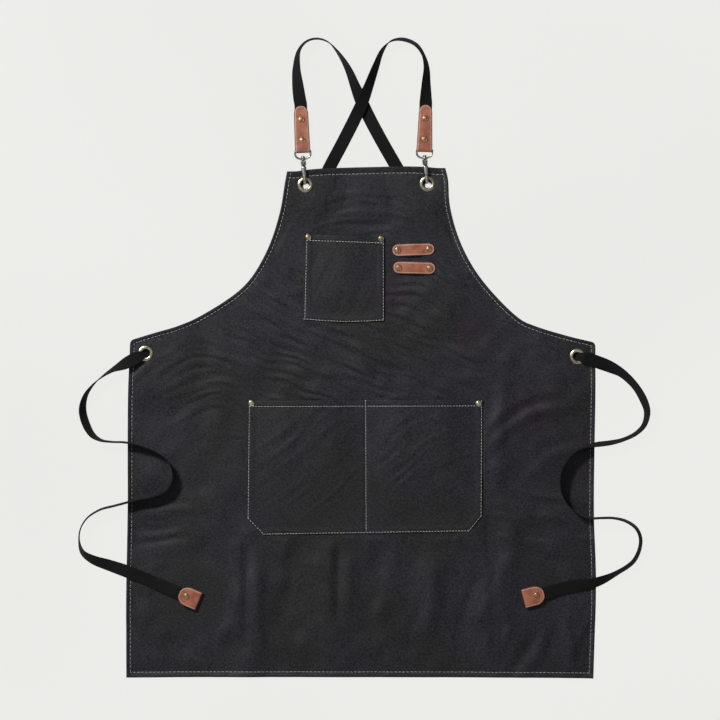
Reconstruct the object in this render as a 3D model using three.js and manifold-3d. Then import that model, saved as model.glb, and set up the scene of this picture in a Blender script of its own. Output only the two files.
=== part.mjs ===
// Cross-back work apron, lying on its back with the front face up.
// Millimetres. +X to the right, +Y towards the bib, +Z up from the surface it lies on (z = 0).
import * as THREE from 'three';
import { mergeVertices } from 'three/addons/utils/BufferGeometryUtils.js';
import Module from 'manifold-3d';

const wasm = await Module();
wasm.setup();

// Driving dimensions
const GAP = 0.3;                 // clearance between touching pieces
const CANVAS = 1.1;              // one layer of canvas
const CANVAS_FLOOR = 2.0;        // underside of the single cloth, held up by its hems
const CANVAS_TOP = CANVAS_FLOOR + CANVAS;
const HEM = CANVAS_TOP;          // folded hem, turned to the back and as thick as it stands
const HEM_WIDTH = { top: 9.5, side: 7, bottom: 9 };
const HEM_STEP = 1;              // run of the step from hem to single cloth
const EYELET_LIFT = 4.1;         // cloth raised over the hooks and the straps at the eyelets
const LEATHER = 1.6;
const WEBBING = { width: 19, thickness: 1.5 };
const DRILL = 16;                // half length of a drill, longer than any stack of layers
const EYELET = {
  hole: 6.25,
  barrel: 7.0,
  rim: 11,
  bevel: 1.2,
  frontHeight: 1.3,
  backHeight: 0.9,
  sides: 14,
};
const RIVET = { cap: 4.2, dome: 1.7, post: 1.3, back: 3.8, backHeight: 0.9, sides: 8 };
const RIVET_SHOULDER = { radius: 0.85, height: 0.7, back: 0.9 };   // shares of cap, dome and back
const SEAM = { side: 9, middle: 2 };   // flat strips of a pocket that are sewn or riveted down

// Snap hook, in its own frame: eyelet centre at y = 0, strap end towards +y
const HOOK = {
  wire: 1.6,                     // wire radius
  spineZ: 1.9,
  noseZ: 12.0,
  bendY: 6.6,                    // centre of the bend that passes through the eyelet
  noseTipY: 27.0,
  headStartY: 29,                // the spine widens into the head from here
  heelY: 32.5,
  headWidth: 6.3,
  slotWidth: 3.0,
  slotFloor: 7.6,
  slotEndY: 36.0,
  headEndY: 36.6,
  pivotY: 34.0,
  pivotZ: 10.2,
  pin: 0.8,
  neck: 1.5,
  neckPlay: 0.5,
  ball: 2.8,
  ballLength: 3.2,
  bossY: 38.4,
  boss: { radius: 3.1, length: 2.4 },
  barY: 50.7,                    // straight bar of the eye, inside the leather fold
  sides: 10,                     // sides of its round pieces
};
const AXIS_Z = (HOOK.spineZ + HOOK.noseZ) / 2;
const EYE = { wire: 1.1, halfWidth: 12.1, corner: 1.2, cornerRise: 1.6 };
const GATE = { width: 2.4, thickness: 1.6, knuckle: 1.7, tipY: 25.8, pinPlay: 0.25 };

// Folded leather: tab on each strap end, tip on each tie
const TAB = {
  length: 68,
  halfAtEye: 10.8,
  halfAtEnd: 10.2,
  slope: 0.05,
  strapRows: [6, 24, 60, 70],    // along the tab from the bar, clear of the rivets
  barPlay: 0.6,
  rivets: [16, 47.2],
};
const TIP = { length: 30, halfWidth: 14.5, strapRows: [34, 12, 3], rivet: 18, lift: 1.5 };
const FOLD_SHOULDER = 9;         // from the fold to where the two layers lie flat
const TOOL_LOOP = { length: 62, width: 17.5, bow: 6.0, rivetSpan: 46.5, bluntEnd: 0.8 };

// Colours and finishes
const FINISH = {
  canvas: { color: 0x2f2e31, roughness: 0.92, metalness: 0 },
  webbing: { color: 0x1c1c1d, roughness: 0.9, metalness: 0 },
  leather: { color: 0xa1644d, roughness: 0.6, metalness: 0 },
  brass: { color: 0xb59a6a, roughness: 0.35, metalness: 1 },
  pewter: { color: 0xb7ada0, roughness: 0.3, metalness: 1 },
};

// Outline of the panel: armhole and side edges as few points on smooth curves
const EDGES = {
  left: {
    armhole: [
      [-113, 278], [-116, 262], [-124, 216], [-144.4, 157], [-177, 107], [-242, 62], [-276.5, 46.5],
      [-312, 36], [-348, 25],
    ],
    side: [[-348, 25], [-351.5, -70], [-352, -230], [-354, -350], [-354, -480.6]],
  },
  right: {
    armhole: [
      [124, 283], [128, 266], [131, 226], [148, 169], [177.2, 118], [236, 57], [258.3, 46.5],
      [307.2, 31.5], [348.6, 21.4],
    ],
    side: [[348.6, 21.4], [348.8, -70], [346.9, -235], [350, -333], [346, -482]],
  },
};
const ARMHOLE_ROWS = [43, 77, 110, 143, 177, 211, 245, 279, 312, 344];   // distances from the bib's corner
const LATTICE = { sideRows: 11, columns: 18, topRows: 3 };
// How far a row of the lattice dips at its middle, and the powers that shape the dip
const ROW_BOW = { top: -4, waist: 85, bottom: -1.2, across: 4, above: 2, below: 1.5 };

// Folds that lie in the skirt: ridge at x from top to bottom, half width and height
const FOLDS = [
  { x: -165, top: -290, bottom: -520, half: 44, height: 3.0 },
  { x: -42, top: -290, bottom: -520, half: 48, height: 2.2 },
  { x: 104, top: -290, bottom: -440, half: 44, height: 2.8 },
  { x: 204, top: -275, bottom: -520, half: 38, height: 3.2 },
];
const FOLD_RUNOUT = 60;

const EYELETS = {
  bib_eyelet_left: { x: -86, y: 258 },
  bib_eyelet_right: { x: 97, y: 259.5 },
  waist_eyelet_left: { x: -325, y: 5.5 },
  waist_eyelet_right: { x: 322, y: 1 },
};
const BIB_LIFT = { from: 204, full: 232 };          // the cloth rises to the hooks between these heights
const WAIST_LIFT = { flat: 46, reach: 100 };        // radii of the raised corner at a waist eyelet

// Patch pockets: a row for each height, from the mouth down, and the sag of the foot between its corners
const CHEST_POCKET = {
  rows: [
    { leftX: -85, leftY: 184, rightX: 32.8, rightY: 180 },
    { leftX: -85.3, leftY: 174.5, rightX: 32.8, rightY: 170.5 },
    { leftX: -88, leftY: 58.5, rightX: 32.8, rightY: 57 },
    { leftX: -88, leftY: 55.5, rightX: 32.8, rightY: 54 },
  ],
  sag: 3,
  bays: 1,
  columns: 8,
  steps: 5,
  bulge: 7,
  rivets: [{ x: -81, y: 179.5 }, { x: 28, y: 177 }],
};
const FRONT_POCKET = {
  rows: [
    { leftX: -171, leftY: -65, rightX: 180, rightY: -64 },
    { leftX: -171.2, leftY: -74.5, rightX: 180, rightY: -73.5 },
    { leftX: -173, leftY: -242, rightX: 179.5, rightY: -238 },
    { leftX: -149, leftY: -267, rightX: 160, rightY: -262 },
  ],
  sag: 0,
  bays: 2,
  columns: 7,
  steps: 6,
  bulge: 7,
  rivets: [{ x: -166.5, y: -69.5 }, { x: 174, y: -69.5 }],
};
const POCKET_HEM = 1.0;                             // extra thickness of the folded mouth
const POCKET_ROUNDING = { across: 0.7, down: 2.5 }; // powers that shape the standing mouth

const TOOL_LOOPS = {
  tool_loop_upper: { x: 76.2, y: 160.8, turn: 2.0 },
  tool_loop_lower: { x: 77.6, y: 133.5, turn: -1.3 },
};
const TIPS = {
  left: { x: -247, y: -365, turn: 157.4 },          // middle of the fold, and the way to the strap
  right: { x: 243.3, y: -361.4, turn: 14.5 },
};
const SNAPS = {
  left: { eyelet: 'bib_eyelet_left', turn: 4.3, eyeTurn: 3.4, tabTurn: 2.5 },
  right: { eyelet: 'bib_eyelet_right', turn: 5.8, eyeTurn: 2.0, tabTurn: -0.4 },
};

// Routes of the straps. rise: height of the lower edge above the floor; roll: 0 front face up,
// 90 on edge, 180 back face up; gather: share of the full width, bunched up in the eyelets.
const UNDER = 0.25;
const ON_PANEL = CANVAS_TOP + 0.9;
const ROUTES = {
  left: [
    { x: -94.4, y: 388, rise: 0.9, roll: 8 },
    { x: -97.2, y: 410, rise: 0.2, roll: 31 },
    { x: -98.8, y: 433, rise: 0.2, roll: 54 },
    { x: -95, y: 459, rise: 0.2, roll: 75 },
    { x: -83.6, y: 472.4, rise: 0.2, roll: 77 },
    { x: -68, y: 476.4, rise: 0.2, roll: 77 },
    { x: -52, y: 471.6, rise: 0.2, roll: 82 },
    { x: -37, y: 456, rise: 0.2, roll: 97 },
    { x: -22, y: 432, rise: 0.2, roll: 117 },
    { x: -10, y: 403, rise: 0.2, roll: 140 },
    { x: -1, y: 382, rise: 0.4, roll: 168 },
    { x: 11.8, y: 355.4, rise: 0.3, roll: 178 },
    { x: 31.4, y: 319.2, rise: UNDER, roll: 180 },
    { x: 51, y: 285, rise: UNDER, roll: 180 },
    { x: 84, y: 228, rise: UNDER, roll: 180 },
    { x: 121, y: 160, rise: UNDER, roll: 180 },
    { x: 152, y: 98, rise: UNDER, roll: 180 },
    { x: 198, y: 44, rise: UNDER, roll: 180 },
    { x: 258, y: 15, rise: UNDER, roll: 180 },
    { x: 300, y: 6.5, rise: 0.45, roll: 180, gather: 0.75 },
    { x: 314.6, y: 2.8, rise: 0.6, roll: 180, gather: 0.5 },
    { x: 322, y: 1, rise: 5.3, roll: 180, gather: 0.48 },
    { x: 330, y: -1.4, rise: 11.2, roll: 180, gather: 0.47 },
    { x: 339, y: -4, rise: 11, roll: 180, gather: 0.65 },
    { x: 353.6, y: -8.2, rise: 8.2, roll: 178, gather: 0.95 },
    { x: 370.7, y: -14.8, rise: 1.2, roll: 154 },
    { x: 388, y: -24, rise: 0.2, roll: 128 },
    { x: 408.2, y: -43.6, rise: 0.2, roll: 118 },
    { x: 420.4, y: -63.8, rise: 0.2, roll: 121 },
    { x: 426, y: -82, rise: 0.2, roll: 112 },
    { x: 421.6, y: -101.6, rise: 0.2, roll: 105 },
    { x: 409, y: -114.6, rise: 0.2, roll: 102 },
    { x: 390, y: -123.6, rise: 0.6, roll: 101 },
    { x: 371, y: -128.2, rise: 2.6, roll: 108 },
    { x: 352, y: -130.7, rise: ON_PANEL, roll: 110 },
    { x: 334, y: -134, rise: ON_PANEL, roll: 98 },
    { x: 318, y: -141, rise: ON_PANEL, roll: 94 },
    { x: 304, y: -156, rise: ON_PANEL, roll: 92 },
    { x: 296, y: -176, rise: ON_PANEL, roll: 90 },
    { x: 297, y: -203, rise: ON_PANEL, roll: 90 },
    { x: 306, y: -220, rise: ON_PANEL, roll: 89 },
    { x: 322, y: -234, rise: ON_PANEL, roll: 88 },
    { x: 339, y: -241, rise: ON_PANEL, roll: 87 },
    { x: 356, y: -240.8, rise: ON_PANEL, roll: 86 },
    { x: 375, y: -241, rise: 2, roll: 85 },
    { x: 395, y: -246, rise: 0.4, roll: 80 },
    { x: 410.6, y: -257.6, rise: 0.2, roll: 75 },
    { x: 416.4, y: -276, rise: 0.2, roll: 71 },
    { x: 406.8, y: -304.2, rise: 0.2, roll: 66 },
    { x: 380, y: -323.4, rise: 1.4, roll: 66 },
    { x: 351, y: -336.4, rise: ON_PANEL + 1.2, roll: 38 },
    { x: 316, y: -343.8, rise: ON_PANEL, roll: 4 },
    { x: 290, y: -349, rise: ON_PANEL + 1.0, roll: 0 },
  ],
  right: [
    { x: 94.9, y: 388, rise: 0.9, roll: -22 },
    { x: 95.3, y: 410, rise: 0.2, roll: -47 },
    { x: 95.8, y: 433, rise: 0.2, roll: -64 },
    { x: 91.2, y: 451.6, rise: 0.2, roll: -75 },
    { x: 80.2, y: 467.2, rise: 0.2, roll: -69 },
    { x: 61, y: 475.2, rise: 0.2, roll: -68 },
    { x: 43, y: 472.8, rise: 0.2, roll: -79 },
    { x: 30, y: 459, rise: 0.2, roll: -103 },
    { x: 19, y: 432, rise: 1, roll: -121 },
    { x: 8.8, y: 403.8, rise: 4.4, roll: -137 },
    { x: 0.2, y: 382, rise: 6.6, roll: -155 },
    { x: -11.8, y: 356.4, rise: 3.6, roll: -174 },
    { x: -31, y: 319, rise: 0.4, roll: -180 },
    { x: -49, y: 285, rise: UNDER, roll: -180 },
    { x: -80, y: 220, rise: UNDER, roll: -180 },
    { x: -113, y: 155, rise: UNDER, roll: -180 },
    { x: -149, y: 95, rise: UNDER, roll: -180 },
    { x: -200, y: 44, rise: UNDER, roll: -180 },
    { x: -262, y: 18, rise: UNDER, roll: -180 },
    { x: -303, y: 10.5, rise: 0.45, roll: -180, gather: 0.75 },
    { x: -317.6, y: 7.4, rise: 0.6, roll: -180, gather: 0.5 },
    { x: -325, y: 5.5, rise: 5.3, roll: -180, gather: 0.48 },
    { x: -332.5, y: 2.6, rise: 11.2, roll: -180, gather: 0.47 },
    { x: -341, y: -1.4, rise: 11, roll: -178, gather: 0.65 },
    { x: -354.6, y: -8.8, rise: 8.2, roll: -214, gather: 0.95 },
    { x: -371.2, y: -17.6, rise: 1.2, roll: -247 },
    { x: -388.4, y: -28.6, rise: 0.2, roll: -262 },
    { x: -403.8, y: -42.2, rise: 0.2, roll: -272 },
    { x: -415, y: -59, rise: 0.2, roll: -285 },
    { x: -419, y: -79, rise: 0.2, roll: -299 },
    { x: -414, y: -100, rise: 0.2, roll: -302 },
    { x: -404.4, y: -116.6, rise: 0.2, roll: -291 },
    { x: -392, y: -124.5, rise: 0.6, roll: -277 },
    { x: -375, y: -127, rise: 2.6, roll: -273 },
    { x: -356, y: -127.6, rise: ON_PANEL, roll: -274 },
    { x: -330, y: -133, rise: ON_PANEL, roll: -272 },
    { x: -303, y: -145, rise: ON_PANEL, roll: -268 },
    { x: -289, y: -160, rise: ON_PANEL, roll: -264 },
    { x: -284, y: -181, rise: ON_PANEL, roll: -264 },
    { x: -293, y: -199, rise: ON_PANEL, roll: -264 },
    { x: -315, y: -209, rise: ON_PANEL, roll: -265 },
    { x: -336, y: -213, rise: ON_PANEL, roll: -265 },
    { x: -354, y: -218, rise: ON_PANEL, roll: -265 },
    { x: -372, y: -222.8, rise: 2.2, roll: -265 },
    { x: -393, y: -228.6, rise: 0.4, roll: -265 },
    { x: -412, y: -241, rise: 0.2, roll: -265 },
    { x: -422, y: -257, rise: 0.2, roll: -264 },
    { x: -424, y: -275, rise: 0.2, roll: -261 },
    { x: -419, y: -292, rise: 0.2, roll: -243 },
    { x: -404.4, y: -303, rise: 0.2, roll: -223 },
    { x: -378, y: -312.4, rise: 1.6, roll: -203 },
    { x: -353, y: -321, rise: ON_PANEL + 1.2, roll: -188 },
    { x: -320, y: -335, rise: ON_PANEL, roll: -180 },
    { x: -292, y: -346.5, rise: ON_PANEL + 1.0, roll: -180 },
  ],
};
const ROUTE_STEPS = 2;                               // ribbon sections for each row of a route

// Small helpers

const vec = (x, y, z) => new THREE.Vector3(x, y, z);
const radians = THREE.MathUtils.degToRad;
const lerp = THREE.MathUtils.lerp;
const smooth = (t) => THREE.MathUtils.smoothstep(t, 0, 1);

function triangleCorners(positions, index, t) {
  return [0, 1, 2].map((k) => new THREE.Vector3().fromBufferAttribute(positions, index[t + k]));
}

// Positions only, shared vertices merged, faces of no area left out, faces pointing outwards
function tidy(geometry) {
  const bare = new THREE.BufferGeometry();
  bare.setAttribute('position', geometry.getAttribute('position'));
  if (geometry.index) bare.setIndex(geometry.index);
  const merged = mergeVertices(bare, 1e-4);
  const positions = merged.getAttribute('position');
  const source = merged.index.array;
  let index = [];
  let volume = 0;
  for (let t = 0; t < source.length; t += 3) {
    const [i, j, k] = [source[t], source[t + 1], source[t + 2]];
    if (i === j || j === k || k === i) continue;
    const [a, b, c] = triangleCorners(positions, source, t);
    volume += a.dot(b.cross(c));
    index.push(i, j, k);
  }
  if (volume < 0) index = index.reverse();
  merged.setIndex(index);
  merged.computeVertexNormals();
  return merged;
}

function fromPoints(points, index) {
  const geometry = new THREE.BufferGeometry();
  geometry.setFromPoints(points);
  geometry.setIndex(index);
  return tidy(geometry);
}

function toSolid(geometry) {
  const clean = tidy(geometry);
  return new wasm.Manifold(new wasm.Mesh({
    numProp: 3,
    vertProperties: new Float32Array(clean.getAttribute('position').array),
    triVerts: new Uint32Array(clean.index.array),
  }));
}

function toGeometry(solid) {
  const mesh = solid.getMesh();
  const geometry = new THREE.BufferGeometry();
  geometry.setAttribute('position', new THREE.BufferAttribute(new Float32Array(mesh.vertProperties), 3));
  geometry.setIndex(new THREE.BufferAttribute(new Uint32Array(mesh.triVerts), 1));
  return tidy(geometry);
}

const join = (geometries) => toGeometry(geometries.map(toSolid).reduce((a, b) => a.add(b)));
const cut = (geometry, tools) =>
  toGeometry(tools.map(toSolid).reduce((a, b) => a.subtract(b), toSolid(geometry)));
const overlap = (a, b) => toGeometry(toSolid(a).intersect(toSolid(b)));

// Closed skin over rings of points: a tube with end caps, or a loop that meets itself
function sweep(sections, isLoop = false) {
  const around = sections[0].length;
  const count = sections.length;
  const index = [];
  for (let i = 0; i < (isLoop ? count : count - 1); i++) {
    const next = (i + 1) % count;
    for (let j = 0; j < around; j++) {
      const k = (j + 1) % around;
      index.push(i * around + j, i * around + k, next * around + k);
      index.push(i * around + j, next * around + k, next * around + j);
    }
  }
  if (!isLoop) {
    const end = (count - 1) * around;
    for (let j = 1; j < around - 1; j++) {
      index.push(0, j + 1, j);
      index.push(end, end + j, end + j + 1);
    }
  }
  return fromPoints(sections.flat(), index);
}

// Closed cloth from a lattice of upper points and the matching lower ones
function cloth(upper, lower) {
  const rows = upper.length;
  const columns = upper[0].length;
  const points = [...upper.flat(), ...lower.flat()];
  const below = rows * columns;
  const at = (i, j) => i * columns + j;
  const index = [];
  const quad = (a, b, c, d) => index.push(a, b, c, a, c, d);
  for (let i = 0; i < rows - 1; i++) {
    for (let j = 0; j < columns - 1; j++) {
      quad(at(i, j), at(i + 1, j), at(i + 1, j + 1), at(i, j + 1));
      quad(below + at(i, j), below + at(i, j + 1), below + at(i + 1, j + 1), below + at(i + 1, j));
    }
  }
  const rim = (a, b) => quad(a, b, below + b, below + a);
  for (let j = 0; j < columns - 1; j++) {
    rim(at(0, j), at(0, j + 1));
    rim(at(rows - 1, j + 1), at(rows - 1, j));
  }
  for (let i = 0; i < rows - 1; i++) {
    rim(at(i + 1, 0), at(i, 0));
    rim(at(i, columns - 1), at(i + 1, columns - 1));
  }
  return fromPoints(points, index);
}

function roundPost(radius, halfLength, sides = RIVET.sides) {
  return new THREE.CylinderGeometry(radius, radius, 2 * halfLength, sides).rotateX(Math.PI / 2);
}

const rivetDrill = (x, y) => roundPost(RIVET.post + GAP, DRILL).translate(x, y, 0);

// Body of revolution about Z from [radius, height] points
function turned(profile, sides) {
  const lathe = new THREE.LatheGeometry(profile.map(([r, z]) => new THREE.Vector2(r, z)), sides);
  return tidy(lathe.rotateX(Math.PI / 2));
}

// Profile drawn in the YZ plane, given a thickness across X
function acrossX(points, width) {
  const shape = new THREE.Shape(points.map(([y, z]) => new THREE.Vector2(y, z)));
  const geometry = new THREE.ExtrudeGeometry(shape, { depth: width, bevelEnabled: false });
  geometry.translate(0, 0, -width / 2);
  return geometry.applyMatrix4(new THREE.Matrix4().makeBasis(vec(0, 1, 0), vec(0, 0, 1), vec(1, 0, 0)));
}

function material(name) {
  return new THREE.MeshStandardMaterial(FINISH[name]);
}

function piece(name, geometry, finish) {
  const mesh = new THREE.Mesh(tidy(geometry), material(finish));
  mesh.name = name;
  return mesh;
}

// How far the cloth is raised above its lying height

function foldHeight(x, y) {
  let height = 0;
  for (const fold of FOLDS) {
    const across = Math.max(0, 1 - Math.abs(x - fold.x) / fold.half);
    const along = smooth((fold.top - y) / FOLD_RUNOUT) * smooth((y - fold.bottom) / FOLD_RUNOUT);
    height = Math.max(height, fold.height * smooth(across) * along);
  }
  return height;
}

function rise(x, y) {
  const bib = EYELET_LIFT * smooth((y - BIB_LIFT.from) / (BIB_LIFT.full - BIB_LIFT.from));
  let waist = 0;
  for (const seat of [EYELETS.waist_eyelet_left, EYELETS.waist_eyelet_right]) {
    const away = Math.hypot(x - seat.x, y - seat.y);
    const share = smooth((WAIST_LIFT.reach - away) / (WAIST_LIFT.reach - WAIST_LIFT.flat));
    waist = Math.max(waist, EYELET_LIFT * share);
  }
  return Math.max(bib, waist, foldHeight(x, y));
}

// Panel: a lattice between the two edges, with the hem as a thicker band

function edgeStations({ armhole, side }) {
  const curve = (rows) =>
    new THREE.CatmullRomCurve3(rows.map(([x, y]) => vec(x, y, 0)), false, 'centripetal');
  const arm = curve(armhole);
  const flank = curve(side);
  const armLength = arm.getLength();
  const flankLength = flank.getLength();
  const stations = [arm.getPointAt(0), arm.getPointAt(HEM_WIDTH.top / armLength)];
  for (const distance of [HEM_WIDTH.top + HEM_STEP, ...ARMHOLE_ROWS]) {
    stations.push(arm.getPointAt(distance / armLength));
  }
  const flankEnd = flankLength - HEM_WIDTH.bottom - HEM_STEP;
  for (let i = 0; i <= LATTICE.sideRows; i++) {
    stations.push(flank.getPointAt(lerp(0, flankEnd, i / LATTICE.sideRows) / flankLength));
  }
  stations.push(flank.getPointAt(1 - HEM_WIDTH.bottom / flankLength), flank.getPointAt(1));
  return stations;
}

function inwardNormals(stations, inwards) {
  return stations.map((_, i) => {
    if (i < LATTICE.topRows) return vec(inwards, 0, 0);
    const before = stations[Math.max(i - 1, 0)];
    const after = stations[Math.min(i + 1, stations.length - 1)];
    const along = after.clone().sub(before).normalize();
    return vec(-along.y, along.x, 0).multiplyScalar(inwards);
  });
}

function rowBow(row, rowCount) {
  const waistRow = ARMHOLE_ROWS.length + 3;
  if (row <= waistRow) return lerp(ROW_BOW.top, ROW_BOW.waist, (row / waistRow) ** ROW_BOW.above);
  const toFoot = (rowCount - 1 - row) / (rowCount - 1 - waistRow);
  return lerp(ROW_BOW.bottom, ROW_BOW.waist, toFoot ** ROW_BOW.below);
}

function panelLattice() {
  const left = edgeStations(EDGES.left);
  const right = edgeStations(EDGES.right);
  const leftNormals = inwardNormals(left, 1);
  const rightNormals = inwardNormals(right, -1);
  const bands = [0, HEM_WIDTH.side, HEM_WIDTH.side + HEM_STEP];
  return left.map((_, row) => {
    const leftBand = bands.map((d) => left[row].clone().addScaledVector(leftNormals[row], d));
    const rightBand = bands.map((d) => right[row].clone().addScaledVector(rightNormals[row], d));
    const middle = [];
    for (let j = 1; j < LATTICE.columns; j++) {
      const u = j / LATTICE.columns;
      const point = leftBand[2].clone().lerp(rightBand[2], u);
      point.y -= rowBow(row, left.length) * (1 - Math.abs(2 * u - 1) ** ROW_BOW.across);
      middle.push(point);
    }
    return [...leftBand, ...middle, ...rightBand.reverse()];
  });
}

function panelGeometry() {
  const plan = panelLattice();
  const lastRow = plan.length - 1;
  const lastColumn = plan[0].length - 1;
  const upper = plan.map((row) => row.map((p) => vec(p.x, p.y, CANVAS_TOP + rise(p.x, p.y))));
  const lower = upper.map((row, i) => row.map((p, j) => {
    const inHem = i < 2 || i > lastRow - 2 || j < 2 || j > lastColumn - 2;
    return vec(p.x, p.y, p.z - (inHem ? HEM : CANVAS));
  }));
  const eyeletHoles = Object.values(EYELETS).map(({ x, y }) =>
    roundPost(EYELET.barrel + GAP, DRILL, EYELET.sides).translate(x, y, 0));
  const rivetHoles = panelRivets().map(({ x, y }) => rivetDrill(x, y));
  return cut(cloth(upper, lower), [...eyeletHoles, ...rivetHoles]);
}

function loopRivets({ x, y, turn }) {
  const reach = TOOL_LOOP.rivetSpan / 2;
  const [dx, dy] = [reach * Math.cos(radians(turn)), reach * Math.sin(radians(turn))];
  return [{ x: x - dx, y: y - dy }, { x: x + dx, y: y + dy }];
}

function panelRivets() {
  return [
    ...CHEST_POCKET.rivets,
    ...FRONT_POCKET.rivets,
    ...Object.values(TOOL_LOOPS).flatMap(loopRivets),
  ];
}

// Patch pocket: sewn down round three sides, standing open at its mouth

function pocketColumns({ rows: [mouth], bays, columns }) {
  const width = mouth.rightX - mouth.leftX;
  const bayWidth = (width - 2 * SEAM.side - (bays - 1) * SEAM.middle) / bays;
  const places = [{ u: 0, open: 0 }];
  for (let bay = 0; bay < bays; bay++) {
    const from = SEAM.side + bay * (bayWidth + SEAM.middle);
    for (let j = 0; j <= columns; j++) {
      const share = j / columns;
      const open = Math.sin(Math.PI * share) ** POCKET_ROUNDING.across;
      places.push({ u: (from + bayWidth * share) / width, open });
    }
  }
  places.push({ u: 1, open: 0 });
  return places;
}

function pocketGeometry(pocket) {
  const { rows: [mouth, hemLine, turn, foot], sag, steps, bulge, rivets } = pocket;
  const mix = (a, b, t) => Object.fromEntries(Object.keys(a).map((key) => [key, lerp(a[key], b[key], t)]));
  const levels = [mouth, hemLine];
  for (let i = 1; i <= steps; i++) levels.push(mix(hemLine, turn, i / steps));
  levels.push(foot);
  const hemAt = (level) => (level < 2 ? POCKET_HEM : 0);
  const upper = levels.map((level, i) => pocketColumns(pocket).map(({ u, open }) => {
    const depth = Math.min(1, (mouth.leftY - level.leftY) / (mouth.leftY - turn.leftY));
    const stand = bulge * open * (1 - depth ** POCKET_ROUNDING.down);
    const x = lerp(level.leftX, level.rightX, u);
    const droop = sag * depth ** POCKET_ROUNDING.down * Math.sin(Math.PI * u);
    const y = lerp(level.leftY, level.rightY, u) - droop;
    return vec(x, y, CANVAS_TOP + GAP + CANVAS + hemAt(i) + stand);
  }));
  const lower = upper.map((row, i) => row.map((p) => vec(p.x, p.y, p.z - CANVAS - hemAt(i))));
  return cut(cloth(upper, lower), rivets.map(({ x, y }) => rivetDrill(x, y)));
}

// Leather tool loop: round-ended strip, flat under its rivets and bowed between them

function toolLoopGeometry() {
  const half = TOOL_LOOP.length / 2;
  const round = TOOL_LOOP.width / 2;
  const flat = TOOL_LOOP.rivetSpan / 2 - RIVET.cap - 1;
  const fromEnd = [0, 1.2, 4, round];
  const bowShares = [1, 0.66, 0.33, 0];
  const stations = [...fromEnd.map((s) => s - half), ...bowShares.map((share) => -flat * share)];
  const all = [...stations, ...stations.slice(0, -1).reverse().map((s) => -s)];
  const halfWidthAt = (s) => {
    const past = Math.max(0, Math.abs(s) - (half - round));
    return Math.max(TOOL_LOOP.bluntEnd, Math.sqrt(Math.max(0, round ** 2 - past ** 2)));
  };
  const bowRounding = 0.7;
  const lowest = CANVAS_TOP + GAP;
  const height = (s) => lowest + TOOL_LOOP.bow * smooth(1 - Math.abs(s) / flat) ** bowRounding;
  const across = [-1, 0, 1];
  const upper = all.map((s) => across.map((c) => vec(s, c * halfWidthAt(s), height(s) + LEATHER)));
  const lower = upper.map((row) => row.map((p) => vec(p.x, p.y, p.z - LEATHER)));
  const holes = [-1, 1].map((side) => rivetDrill(side * TOOL_LOOP.rivetSpan / 2, 0));
  return cut(cloth(upper, lower), holes);
}

// Rivet through a stack of layers, and eyelet through the cloth

function rivetGeometry(low, high) {
  const seat = high + GAP;
  const back = low - GAP;
  return turned([
    [0, back - RIVET.backHeight],
    [RIVET.back * RIVET_SHOULDER.back, back - RIVET.backHeight],
    [RIVET.back, back],
    [RIVET.post, back],
    [RIVET.post, seat],
    [RIVET.cap, seat],
    [RIVET.cap * RIVET_SHOULDER.radius, seat + RIVET.dome * RIVET_SHOULDER.height],
    [0, seat + RIVET.dome],
  ], RIVET.sides);
}

function eyeletGeometry() {
  const clothLow = CANVAS_FLOOR + EYELET_LIFT;
  const front = clothLow + CANVAS + GAP;
  const back = clothLow - GAP;
  const { hole, barrel, rim, bevel, frontHeight, backHeight } = EYELET;
  const backRim = rim - 1;
  return turned([
    [hole, back],
    [hole + bevel, back - backHeight],
    [backRim - bevel, back - backHeight],
    [backRim, back],
    [barrel, back],
    [barrel, front],
    [rim, front],
    [rim - bevel, front + frontHeight],
    [hole + bevel, front + frontHeight],
    [hole, front],
    [hole, back],
  ], EYELET.sides);
}

// Snap hook: body with bend and nose, gate on its pin, and the swivel eye

function wire(points, radius, sides = 8, isLoop = false) {
  const count = points.length;
  const sections = points.map((point, i) => {
    const before = points[isLoop ? (i + count - 1) % count : Math.max(i - 1, 0)];
    const after = points[isLoop ? (i + 1) % count : Math.min(i + 1, count - 1)];
    const along = after.clone().sub(before).normalize();
    const flat = Math.abs(along.x) < 1e-6 ? vec(1, 0, 0) : vec(0, 0, 1);
    const other = along.clone().cross(flat).normalize();
    return Array.from({ length: sides }, (_, k) => {
      const angle = (2 * Math.PI * (k + 0.5)) / sides;
      return point.clone()
        .addScaledVector(flat, radius * Math.cos(angle))
        .addScaledVector(other, radius * Math.sin(angle));
    });
  });
  return sweep(sections, isLoop);
}

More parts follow.
